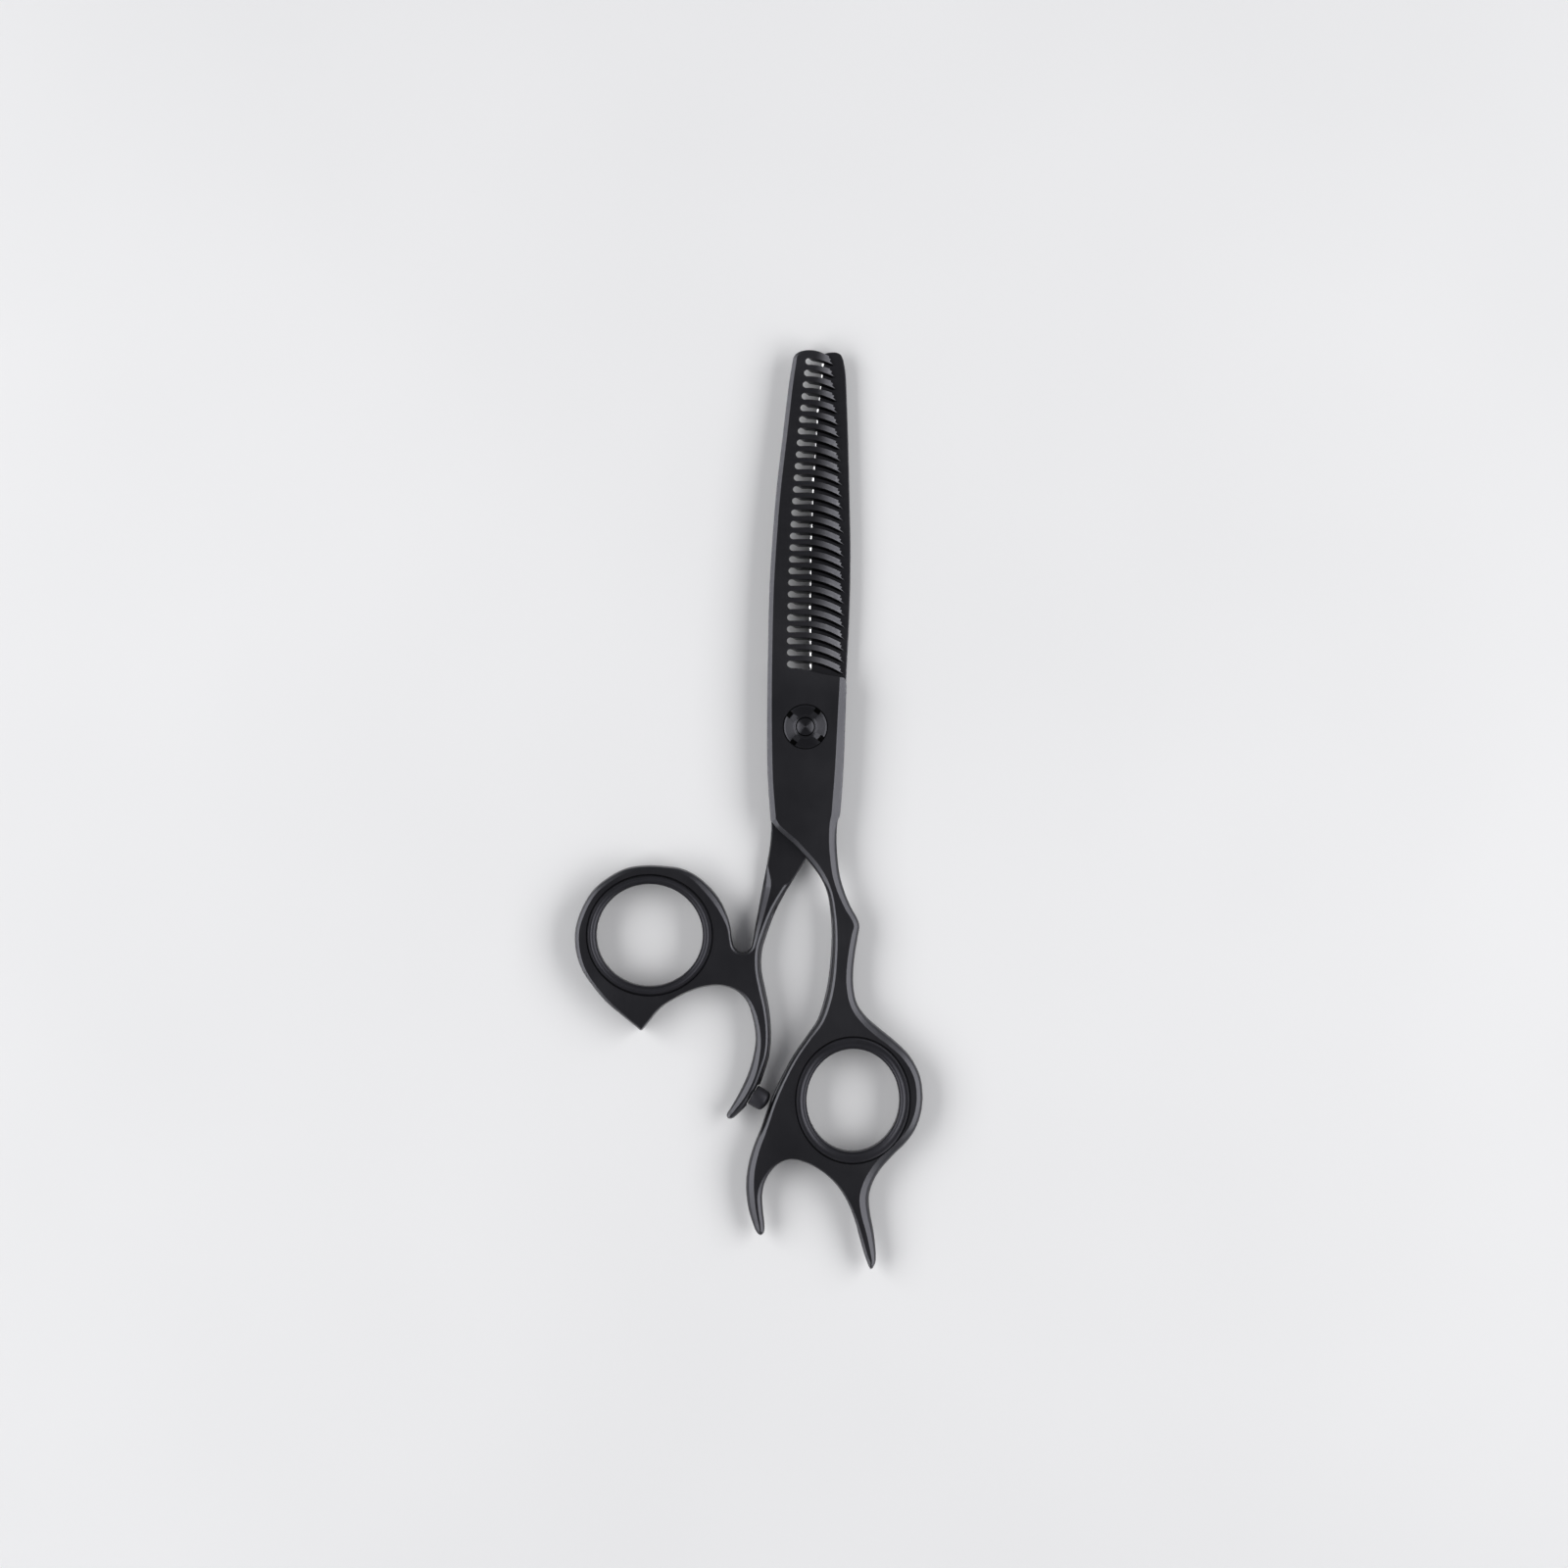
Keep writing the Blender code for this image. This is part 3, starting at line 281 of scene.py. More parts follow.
def slot_root(n):
    """The round end of slot n, from its lower side to its upper side."""
    x = float(line_x(ROOT_LINE, slot_y(n))) + SLOT_HALF_ROOT
    y = slot_centre(n, x)
    return [(x + SLOT_HALF_ROOT * math.cos(a), y + SLOT_HALF_ROOT * math.sin(a), 0, 0)
            for a in np.radians(np.linspace(270, 90, 11)[1:-1])]


def comb_teeth():
    """The toothed edge of the comb, from the heel up to the tip."""
    found = [(*p[:2], 0, 0) for p in run([(*p, 0) for p in HEEL_LINE])]
    for n in range(SLOTS):
        point_x = float(line_x(POINT_LINE, slot_y(n) - 2))
        if n:
            found += slot_side(n, -1, point_x - TOOTH_RAKE)[::-1]
        found += slot_root(n)
        side = slot_side(n, 1, point_x)
        found += side
        found += [(side[-1][0] + dx, side[-1][1] + dy, 0, 0) for dx, dy in SERRATION]
    return found


def with_flank(points):
    return [(*p, 0.0) for p in points]


def gripped(sides, first, last, start, end, fade=7):
    """The edges with a fourth value: 1 between two points and two distances below the
    pivot, where they are rounder."""
    sides = np.array(sides)
    ends = [np.linalg.norm(sides[:, :2] - p[:2], axis=1).argmin() for p in (first, last)]
    order = np.arange(len(sides))
    on = (order >= ends[0]) & (order <= ends[1])
    below = -sides[:, 1]
    share = on * smooth(below, start, start + fade) * (1 - smooth(below, end, end + fade))
    return np.column_stack([sides, share])


def comb_outline():
    """The run that has rounded edges, and the whole outline, as x, y, width, flank."""
    handle = COMB_INSIDE + FINGER_HOOK_END + FINGER_ARCH + TANG_POINT + FINGER_OUTSIDE
    sides = run(COMB_SPINE)[:-1] + run(handle + HEEL_CORNER)
    tip = run(COMB_TIP)[:-1]
    # The right edge's bevel runs straight out at the heel, not round its corner.
    edges = tip + run(COMB_SPINE)[:-1] + run(handle + [(7.75, 9.2, 1.25)])
    rounded = gripped(edges, COMB_INSIDE[0], FINGER_HOOK_END[0], GRIP_START, COMB_GRIP_END)
    return rounded, np.array(with_flank(sides) + comb_teeth() + with_flank(tip))


def plain_outline():
    """The same for the plain half, with a flat across the hook where the bumper sits."""
    handle = (PLAIN_HEEL + THUMB_OUTSIDE + THUMB_CORNER + THUMB_ARCH + THUMB_HOOK_END
              + PLAIN_INSIDE)
    sides = run(handle)[:-1] + run(PLAIN_DIAGONAL)[:-1] + run(PLAIN_SPINE)[:-1] + run(PLAIN_TIP)
    loop = np.vstack([run(CUTTING_LINE)[:-1], sides[:-1]])
    sides = gripped(sides, THUMB_HOOK_END[-1], PLAIN_INSIDE[-1], GRIP_START, PLAIN_GRIP_END)
    loop = np.column_stack([loop, np.zeros(len(loop))])
    angle = math.radians(BUMPER_ANGLE)
    out = np.array((math.cos(angle), math.sin(angle)))
    along = np.array((-math.sin(angle), math.cos(angle)))
    rel = loop[:, :2] - BUMPER_SEAT
    near, flat_half = 1.5, BUMPER_R + 0.15
    proud = np.where(np.abs(rel @ along) < flat_half, np.clip(rel @ out, 0, near), 0)
    proud[np.abs(rel @ out) > near] = 0
    loop[:, :2] -= proud[:, None] * out
    return sides, loop


def edge_field(line, points):
    """Distance to a line of edges, and the width of the one that reaches furthest in,
    with how far in that is as a part of the width, and how rounded that edge is."""
    far = np.full(len(points), REACH)
    best, width = np.full(len(points), -1.0), np.full(len(points), 1.0)
    grip = np.zeros(len(points))
    size = 24
    for first in range(0, len(line) - 1, size):
        part = line[first:first + size + 1]
        low, high = part[:, :2].min(0) - REACH, part[:, :2].max(0) + REACH
        found = np.nonzero(np.all((points >= low) & (points <= high), axis=1))[0]
        if not len(found):
            continue
        start, step = part[:-1, :2], np.diff(part[:, :2], axis=0)
        rel = points[found][:, None, :] - start
        t = np.clip((rel * step).sum(2) / np.maximum((step**2).sum(1), 1e-12), 0, 1)
        d = np.linalg.norm(rel - t[..., None] * step, axis=2)
        w = np.maximum(mix(part[:-1, 2], part[1:, 2], t), 1e-3)
        far[found] = np.minimum(far[found], d.min(1))
        reach = w - d
        pick, most = reach.argmax(1), reach.max(1)
        better = most > best[found]
        at = found[better]
        best[at] = most[better]
        width[at] = w[np.arange(len(found)), pick][better]
        grip[at] = part[pick, 3][better]
    return far, np.clip(best / width, 0, 1), width, grip


def band(u, width, profile):
    """How far an edge has fallen away at a part u of its width."""
    slope, extra, power = profile
    return width * (slope * u + extra * u**power)


def stepped_band(u, width):
    """The same where the handles face each other: a bevel, a step down, and a bevel."""
    return width * (0.52 * u + 0.72 * smooth(u, 0.38, 0.7))


def handle_half(x, y, side):
    """Half a handle's thickness, thinner towards the ends of its hooks."""
    if side == "comb":
        thin = np.where(x < 2, smooth(-y, 82, 96), smooth(-y, 86, 102))
    else:
        thin = np.where(x > -16, smooth(-y, 60, 74), 0)
    return mix(HANDLE, TANG_END, thin)


def land(y):
    """Thickness of a blade, falling from its heel to its tip."""
    return mix(RICASSO, BLADE_TIP, np.clip((y - HEEL_Y) / (TIP_Y - HEEL_Y), 0, 1))


def rise(y):
    """How far a handle's inner side has come up, from 0 to 1. It leaves the ride face
    at a slight angle and levels off."""
    t = np.clip((RIDE_END - y) / RISE_RUN, 0, 1)
    return t * t * (3 - 2 * t) + 1.1 * t * (1 - t) ** 2


def horns(x, y):
    """How much of its full width a rounded edge has on an inner face. The edges start
    as two horns beside the end of the ride face."""
    return np.where(x < RING_X, 1, smooth(-y, 24.5 + 3.2 * smooth(x, -6, -3), 30.5))


def heights(points, sides, side):
    """Heights of a half's outer and inner faces from the parting plane, outwards."""
    x, y = points.T
    far, u, width, grip = edge_field(sides, points)
    half = handle_half(x, y, side)
    on_ring = x < RING_X

    def rounding(u, width):
        depth = mix(band(u, width, HANDLE_BAND), stepped_band(u, width), grip)
        return np.minimum(depth, MOST_ROUNDING * half)

    hone = 0
    if side == "comb":
        depth = land(y) - TOOTH_TIP
        slope = np.clip(1 - (line_x(POINT_LINE, y) - x) / (TOOTH_SLOPE * depth), 0, 1)
        drop = np.where(y > slot_centre(0, x), depth * slope**TOOTH_CURVE, 0)
    else:
        behind = x - line_x(CUTTING_LINE, y)
        grind = 1 - np.sin(np.clip(behind / BEVEL_WIDTH, 0, 1) * math.pi / 2)
        on_blade = smooth(y, 8.5, 12)
        drop = (land(y) - CUTTING_EDGE - RIDE_GAP) * grind * on_blade
        hone = HONE_DEPTH * np.clip(1 - behind / HONE_WIDTH, 0, 1)
        hone *= smooth(y, HONE_START - 0.4, HONE_START + 0.4)
    blade = land(y) - np.maximum(band(u, width, BLADE_BAND), drop)
    handleness = np.where(on_ring, 1, smooth(-y, -BLADE_END, -HANDLE_START))
    outer = mix(blade, half - rounding(u, width), handleness)
    share = horns(x, y)
    inner_u = np.where(share < 1, np.clip(1 - far / np.maximum(width * share, 1e-3), 0, 1), u)
    to_handle = np.where(on_ring, 1, rise(y))
    inner = mix(RIDE_GAP + hone, -half, to_handle) + rounding(inner_u, width * share)
    return outer, inner


def face_normals(points, sides, side):
    """Slopes of both faces in x and in y, by central differences."""
    found = []
    for axis in ((SLOPE_STEP, 0), (0, SLOPE_STEP)):
        ahead, behind = heights(points + axis, sides, side), heights(points - axis, sides, side)
        found.append([(a - b) / (2 * SLOPE_STEP) for a, b in zip(ahead, behind)])
    (ox, ix), (oy, iy) = found
    return (ox, oy), (ix, iy)


def inside(loop, points):
    """Which points lie inside a closed outline."""
    x, y = points[:, 0], points[:, 1]
    found = np.zeros(len(points), bool)
    for (x1, y1), (x2, y2) in zip(loop, np.roll(loop, -1, axis=0)):
        if y1 != y2:
            crosses = (y1 > y) != (y2 > y)
            found ^= crosses & (x < (x2 - x1) * (y - y1) / (y2 - y1) + x1)
    return found


def inward(loop):
    """The inward direction at each point of a counter-clockwise outline."""
    ahead = np.roll(loop, -1, axis=0) - loop
    ahead /= np.maximum(np.linalg.norm(ahead, axis=1, keepdims=True), 1e-9)
    along = ahead + np.roll(ahead, 1, axis=0)
    along /= np.maximum(np.linalg.norm(along, axis=1, keepdims=True), 1e-9)
    return np.column_stack([-along[:, 1], along[:, 0]])


def thinned(groups, blockers):
    """Points of the groups in turn, each kept only if it is clear of those before it."""
    count = len(blockers) + sum(len(points) for points, _ in groups)
    everything = np.vstack([blockers] + [points for points, _ in groups])
    tree = KDTree(count)
    for i, p in enumerate(everything):
        tree.insert((p[0], p[1], 0), i)
    tree.balance()
    gone = np.zeros(count, bool)
    kept, first = [], len(blockers)
    for points, apart in groups:
        for i in range(first, first + len(points)):
            near = [j for _, j, _ in tree.find_range((*everything[i], 0), apart)]
            if any(j < i and not gone[j] for j in near):
                gone[i] = True
            else:
                kept.append(everything[i])
        first += len(points)
    return np.array(kept)


def fill_points(side, face, sides, loop, holes):
    """Points that sample a half's face inside its outline and outside its holes."""
    along = np.gradient(sides[:, :2], axis=0)
    along /= np.maximum(np.linalg.norm(along, axis=1, keepdims=True), 1e-9)
    normal = np.column_stack([-along[:, 1], along[:, 0]])
    width = sides[:, 2] * (horns(*sides.T[:2]) if face == "inner" else 1)
    groups = []
    rows = [width + RIDGE, width - RIDGE] + [width * k for k in BAND_ROWS] + [width + FLAT_ROW]
    for d in rows:
        d = np.maximum(d, LEAST_ROW)
        points = sides[:, :2] + normal * d[:, None]
        far, u, w, _ = edge_field(sides, points)
        # A row stops where another edge reaches further in or, beside the ride face, is
        # nearer. One on the flat also stops where that is too narrow for it.
        beside = (horns(*points.T) < 1) if face == "inner" else np.zeros(len(points), bool)
        keep = np.where(beside, far > d - ROW_SLACK,
                        u * w < np.maximum(width - d, 0) + ROW_SLACK)
        _, u, w, _ = edge_field(sides, points + normal * RIDGE)
        keep &= beside | (d < width) | (u * w < ROW_SLACK / 2)
        groups.append((points[keep], ROW_APART))
    if side == "comb":  # a row along the middle of each tooth
        rows = []
        for n in range(SLOTS):
            start = float(line_x(ROOT_LINE, slot_y(n))) + 0.3
            end = float(line_x(POINT_LINE, slot_y(n) - 2)) - 1.1
            for x in np.arange(start, end, 0.5):
                rows.append((x, slot_centre(n, x) + SLOT_PITCH / 2 + 0.02))
        groups.append((np.array(rows), 0.3))
    else:  # rows beside the cutting edge
        rows = [(float(line_x(CUTTING_LINE, y)) + s, y) for y in np.arange(9.5, 70, 0.5)
                for s in (HONE_WIDTH - 0.03, HONE_WIDTH + 0.06, 0.8, 1.5, 2.4, 3.4, 4.6)]
        groups.append((np.array(rows), 0.08))
    # A fine grid where the blades turn into handles, a coarse one everywhere.
    grids = [((-10, 11), (-42, -15), 0.55), ((-45, 24), (-104, 72), 1.3)]
    for (x0, x1), (y0, y1), step in grids:
        xs, ys = np.meshgrid(np.arange(x0, x1, step), np.arange(y0, y1, step))
        points = np.column_stack([xs.ravel(), ys.ravel()])
        points[:, 0] += (np.round(points[:, 1] / step) % 2) * step / 2
        groups.append((points, step * 0.72))
    ready = []
    for points, apart in groups:
        points = points[inside(loop, points)]
        for hole in holes:
            points = points[~inside(hole, points)]
        ready.append((points, apart))
    return thinned(ready, np.vstack([loop] + holes))


def triangulate(loop, holes, fill):
    """Triangles over an outline with holes. The points keep their order."""
    plan = np.vstack([loop] + holes + [fill])
    rings, first = [], 0
    for ring in [loop] + holes:
        rings.append([first + i for i in range(len(ring))])
        first += len(ring)
    edges = [(r[i], r[(i + 1) % len(r)]) for r in rings[1:] for i in range(len(r))]
    made = delaunay_2d_cdt([Vector(p) for p in plan], edges, [rings[0]], 1, 1e-6)
    assert len(made[0]) == len(plan), "some edges cross"
    order = [original[0] for original in made[3]]
    triangles = np.array([[order[i] for i in t] for t in made[2]])
    centres = plan[triangles].mean(axis=1)
    keep = np.ones(len(triangles), bool)
    for hole in holes:
        keep &= ~inside(hole, centres)
    return plan, triangles[keep], rings


def oval(centre, scale, lean, radius, count):
    """Points round a hole, counter-clockwise."""
    a = np.arange(count) * 2 * math.pi / count
    x, y = radius * scale[0] * np.cos(a), radius * scale[1] * np.sin(a)
    c, s = math.cos(math.radians(lean)), math.sin(math.radians(lean))
    return np.column_stack([centre[0] + c * x - s * y, centre[1] + s * x + c * y])


def make_half(name, side, up, hole_list, metal, ground):
    """One half of the shears as a closed mesh with exact normals on its faces. up is 1
    for the half above the parting plane and -1 for the one below."""
    sides, outline = comb_outline() if side == "comb" else plain_outline()
    loop, width, flank = outline[:, :2], outline[:, 2], outline[:, 3]
    handleness = smooth(-loop[:, 1], -BLADE_END, -HANDLE_START) * np.minimum(width / 0.4, 1)
    into = inward(loop)
    cut_in = np.where(width > 0, mix(BLADE_CUT, HANDLE_CUT, handleness), EDGE_CUT)
    cuts = {"outer": cut_in, "inner": cut_in}
    if side == "plain":  # a small chamfer along the ride face
        cuts["inner"] = np.where(width > 0, RIDE_CUT, RIDE_EDGE_CUT)
    low_loop = loop - np.column_stack([np.zeros(len(loop)), flank])
    plans = {}
    for face, ring in (("outer", loop), ("inner", low_loop)):
        edge_ring = ring + into * cuts[face][:, None]
        holes = [oval(*h["at"], h[face], h["count"]) for h in hole_list]
        fill = fill_points(side, face, sides, edge_ring, holes)
        plans[face] = triangulate(edge_ring, holes, fill)

    vertices, faces, finish, wear_and_sheen, count = [], [], [], [], 0
    exact = []  # normals of the vertices on the two faces
    index = {}  # the vertices round each face's outline and holes
    for number, face in enumerate(("outer", "inner")):
        plan, triangles, rings = plans[face]
        h = heights(plan, sides, side)[number]
        sx, sy = face_normals(plan, sides, side)[number]
        sign = 1 if face == "outer" else -1
        vertices.append(np.column_stack([plan, h]))
        exact.append(np.column_stack([-sign * sx, -sign * sy, np.full(len(plan), sign)]))
        # The wear attribute makes the coating paler near the outline, ridges and rims: partly
        # rubbed wear, partly a painted highlight that brightens the edges.
        far, _, w, _ = edge_field(sides, plan)
        ridge = np.exp(-(((far - w) / RIDGE_FADE) ** 2))
        wear_and_sheen.append(np.maximum(np.exp(-((far / WEAR_SHEEN_FADE) ** 2)), RIDGE_WEAR_SHEEN * ridge))
        wear_and_sheen[-1][rings[0]] = 1
        for ring in rings[1:]:
            wear_and_sheen[-1][ring] = RIM_WEAR_SHEEN
        for t in triangles:
            a, b, c = t + count
            faces.append((a, b, c) if sign > 0 else (c, b, a))
            middle = plan[t].mean(axis=0)
            on_hone = (side == "plain" and sign < 0 and HONE_START < middle[1] < HONE_END
                       and middle[0] < line_x(CUTTING_LINE, middle[1]) + HONE_WIDTH)
            finish.append(int(on_hone))
        index[face] = [np.array(r) + count for r in rings]
        count += len(plan)
    flat_count = len(faces)

    def add_ring(chain, ring, h, rubbed_and_sheen):
        first = sum(len(v) for v in vertices)
        vertices.append(np.column_stack([ring, np.broadcast_to(h, len(ring))]))
        wear_and_sheen.append(np.full(len(ring), rubbed_and_sheen))
        chain.append(np.arange(first, first + len(ring)))

    def bridge(chain, order=1):
        for upper, lower in zip(chain, chain[1:]):
            upper, lower = upper[::order], lower[::order]
            for i in range(len(upper)):
                j = (i + 1) % len(upper)
                faces.append((upper[i], lower[i], lower[j], upper[j]))
                finish.append(0)

    outer_h = vertices[0][index["outer"][0], 2]
    inner_h = vertices[1][index["inner"][0] - len(vertices[0]), 2]
    wall = outer_h - inner_h
    turns = {}
    for face, cut_in in cuts.items():
        first, second, stand = (mix(a, b, handleness) * cut_in
                                for a, b in zip(BLADE_TURN, HANDLE_TURN))
        turns[face] = np.minimum(first, 0.2 * wall), np.minimum(second, 0.42 * wall), stand
    top, under = turns["outer"], turns["inner"]
    chain = [index["outer"][0]]
    for ring, shift, h in ((loop, top[2], outer_h - top[0]), (loop, 0 * top[2], outer_h - top[1]),
                           (low_loop, 0 * top[2], inner_h + under[1]),
                           (low_loop, under[2], inner_h + under[0])):
        add_ring(chain, ring + into * shift[:, None], h, WALL_WEAR_SHEEN)
    bridge(chain + [index["inner"][0]])
    for k, hole in enumerate(hole_list):
        chain = [index["outer"][k + 1]]
        for radius, h in hole["wall"]:
            add_ring(chain, oval(*hole["at"], radius, hole["count"]), h, SEAT_WEAR_SHEEN)
        bridge(chain + [index["inner"][k + 1]], -1)

    points = np.vstack(vertices)
    points[:, 2] = PARTING + up * points[:, 2]
    exact = np.vstack(exact)
    exact[:, 2] *= up
    exact /= np.linalg.norm(exact, axis=1, keepdims=True)
    if up < 0:
        faces = [tuple(reversed(f)) for f in faces]
    mesh = bpy.data.meshes.new(name)
    mesh.from_pydata(points * MM, [], [tuple(int(i) for i in f) for f in faces])
    mesh.materials.append(metal)
    if side == "plain":
        mesh.materials.append(ground)
        mesh.polygons.foreach_set("material_index", np.array(finish, np.int32))
    wear_sheen_layer = mesh.attributes.new("wear_and_sheen", "FLOAT", "POINT")
    wear_sheen_layer.data.foreach_set("value", np.concatenate(wear_and_sheen).astype(np.float32))
    mesh.polygons.foreach_set("use_smooth", np.ones(len(faces), bool))
    mesh.set_sharp_from_angle(angle=math.radians(HALF_SHARP_ANGLE))
    mesh.update()
    set_normals(mesh, exact, flat_count)
    return placed(name, mesh)


def set_normals(mesh, exact, flat_count):
    """Gives the faces their exact normals, and the walls too where they run smoothly on."""
    corners = np.zeros(len(mesh.loops) * 3, np.float32)
    mesh.corner_normals.foreach_get("vector", corners)
    corners = corners.reshape(-1, 3)
    vertex = np.zeros(len(mesh.loops), np.int32)
    mesh.loops.foreach_get("vertex_index", vertex)
    total = np.zeros(len(mesh.polygons), np.int32)
    mesh.polygons.foreach_get("loop_total", total)
    face = np.repeat(np.arange(len(mesh.polygons)), total)
    known = vertex < len(exact)
    wanted = np.zeros_like(corners)
    wanted[known] = exact[vertex[known]]
    near = (corners * wanted).sum(1) > math.cos(math.radians(SMOOTH_ON_ANGLE))
    use = known & ((face < flat_count) | near)
    corners[use] = wanted[use]
    mesh.normals_split_custom_set([tuple(map(float, n)) for n in corners])


def soften(profile, radius, closed=False):
    """A turned profile with each of its corners rounded off."""
    p = [np.array(q, float) for q in profile]
    found = []
    for i, b in enumerate(p):
        if not closed and i in (0, len(p) - 1):
            found.append(b)
            continue
        a, c = p[i - 1], p[(i + 1) % len(p)]
        back, on = np.linalg.norm(a - b), np.linalg.norm(c - b)
        r = min(radius, 0.45 * back, 0.45 * on)
        start, end = b + (a - b) / back * r, b + (c - b) / on * r
        for t in np.linspace(0, 1, CORNER_STEPS):
            found.append((1 - t) ** 2 * start + 2 * t * (1 - t) * b + t**2 * end)
    return found


def turned(name, profile, finish, place=None, steps=128, scale=(1, 1), closed=False):
    """A turned piece from its (radius, height) profile, in its place."""
    bm = bmesh.new()
    rings = []
    for r, z in profile:
        angles = np.arange(steps) * 2 * math.pi / steps if r else [0]
        rings.append([bm.verts.new((r * scale[0] * math.cos(a) * MM,
                                    r * scale[1] * math.sin(a) * MM, z * MM)) for a in angles])
    pairs = list(zip(rings, rings[1:])) + ([(rings[-1], rings[0])] if closed else [])
    for upper, lower in pairs:
        for i in range(steps):
            j = (i + 1) % steps
            if len(upper) == 1:
                bm.faces.new((upper[0], lower[i], lower[j]))
            elif len(lower) == 1:
                bm.faces.new((upper[i], lower[0], upper[j]))
            else:
                bm.faces.new((upper[i], lower[i], lower[j], upper[j]))
    bmesh.ops.recalc_face_normals(bm, faces=bm.faces[:])
    if place is not None:
        bmesh.ops.transform(bm, matrix=place, verts=bm.verts[:])
    return piece_of(bm, name, finish)


def placed(name, data):
    """A new object in the scene."""
    obj = bpy.data.objects.new(name, data)
    bpy.context.scene.collection.objects.link(obj)
    return obj


def piece_of(bm, name, finish):
    """A smooth-shaded object made from a bmesh."""
    mesh = bpy.data.meshes.new(name)
    bm.to_mesh(mesh)
    bm.free()
    if finish:
        mesh.materials.append(finish)
    mesh.polygons.foreach_set("use_smooth", np.ones(len(mesh.polygons), bool))
    mesh.set_sharp_from_angle(angle=math.radians(SHARP_ANGLE))
    return placed(name, mesh)


def wedge(near, far, wide, low_near, low_far, turn):
    """A cutter from near to far along the radius at turn degrees, with a sloping floor."""
    bm = bmesh.new()
    top = DIAL_TOP + 1
    corners = [bm.verts.new((x * MM, y * MM, z * MM))
               for x, low in ((near, low_near), (far, low_far))
               for y in (-wide, wide) for z in (low, top)]
    for quad in ((0, 1, 3, 2), (4, 6, 7, 5), (0, 4, 5, 1),
                 (2, 3, 7, 6), (0, 2, 6, 4), (1, 5, 7, 3)):
        bm.faces.new([corners[i] for i in quad])
    bmesh.ops.recalc_face_normals(bm, faces=bm.faces[:])
    bmesh.ops.rotate(bm, cent=(0, 0, 0), matrix=Matrix.Rotation(math.radians(turn), 3, "Z"),
                     verts=bm.verts[:])
    return piece_of(bm, "cutter", None)


def carve(obj, cutters):
    """Cuts the cutters out of a piece for good, and removes them."""
    for cutter in cutters:
        boolean = obj.modifiers.new("cut", "BOOLEAN")
        boolean.operation = "DIFFERENCE"
        boolean.object = cutter
    graph = bpy.context.evaluated_depsgraph_get()
    mesh = bpy.data.meshes.new_from_object(obj.evaluated_get(graph))
    obj.modifiers.clear()
    obj.data = mesh
    mesh.set_sharp_from_angle(angle=math.radians(SHARP_ANGLE))
    for cutter in cutters:
        bpy.data.objects.remove(cutter)
    return obj


def make_dial(finish):
    """The tension dial: a low cone with a rounded lip and four ramped key notches."""
    low = DIAL_BOTTOM
    hole, rim = DIAL_HOLE_R - 0.03, DIAL_R + 0.08
    section = [(hole, DIAL_TOP - 0.12), (hole + 0.28, DIAL_TOP - 0.03),
               (hole + 0.4, DIAL_TOP - 0.12), (rim - 0.35, DIAL_TOP - 0.38),
               (rim - 0.1, DIAL_TOP - 0.46), (rim, DIAL_TOP - 0.6), (rim, low), (hole, low)]
    dial = turned("tension_dial_fine", soften(section, 0.07, closed=True), finish, closed=True)
    cutters = []
    for n in range(4):
        turn = NOTCH_ANGLE + 90 * n
        cutters += [wedge(*NOTCH_RAMP, turn), wedge(*NOTCH_PIT, turn)]
    return carve(dial, cutters)


def make_stud(finish):
    """The pivot stud, from its domed button above to its wide head at the back."""
    dome = [(0, DIAL_TOP), (0.4, DIAL_TOP - 0.01), (0.8, DIAL_TOP - 0.05),
            (1.15, DIAL_TOP - 0.12), (1.4, DIAL_TOP - 0.2), (1.58, DIAL_TOP - 0.27),
            (1.69, DIAL_TOP - 0.33), (BUTTON_R, DIAL_TOP - 0.4)]
    rest = [(BUTTON_R, DIAL_TOP - 0.7), (THREAD_R, DIAL_TOP - 0.75), (THREAD_R, DIAL_BOTTOM),
            (STUD_R, DIAL_BOTTOM - FIT), (STUD_R, STUD_HEAD),
            (STUD_HEAD_R, STUD_HEAD), (STUD_HEAD_R, 0.25), (STUD_HEAD_R - 0.25, 0), (0, 0)]
    return turned("pivot_stud_fine", dome + soften([dome[-1]] + rest, 0.04)[1:], finish)


def make_insert(name, centre, oval_size, lip_width, lean, finish):
    """A finger ring's rubber insert: a spool with a bead round its opening, then a
    valley and a full, round flange, on each face."""
    mean = sum(oval_size) / 2
    wall, lip = mean + INSERT_WALL, mean + lip_width
    under = HANDLE - REBATE + FIT
    bead = [(0, 1.2), (0, 2.05), (0.02, 2.3), (0.08, 2.48), (0.18, 2.57), (0.29, 2.57),
            (0.38, 2.52), (0.46, 2.49), (0.54, 2.53), (0.66, 2.65), (0.8, 2.78)]
    crest = 0.62 * lip_width
    flange = [(mix(0.8, crest, 0.5), 2.92), (crest, 2.99), (crest + 0.15, INSERT_HALF),
              (mix(crest + 0.15, lip_width, 0.4), 2.95), (lip_width - 0.26, 2.8),
              (lip_width - 0.12, 2.64), (lip_width - 0.03, 2.42), (lip_width, 2.2)]
    upper = [(mean + r, z) for r, z in bead + flange] + [(lip, under), (wall, under)]
    profile = upper + [(r, -z) for r, z in reversed(upper)]
    place = Matrix.Translation((centre[0] * MM, centre[1] * MM, PARTING * MM)) @ Matrix.Rotation(
        math.radians(lean), 4, "Z")
    return turned(name, profile, finish, place, 160,
                  (oval_size[0] / mean, oval_size[1] / mean), closed=True)


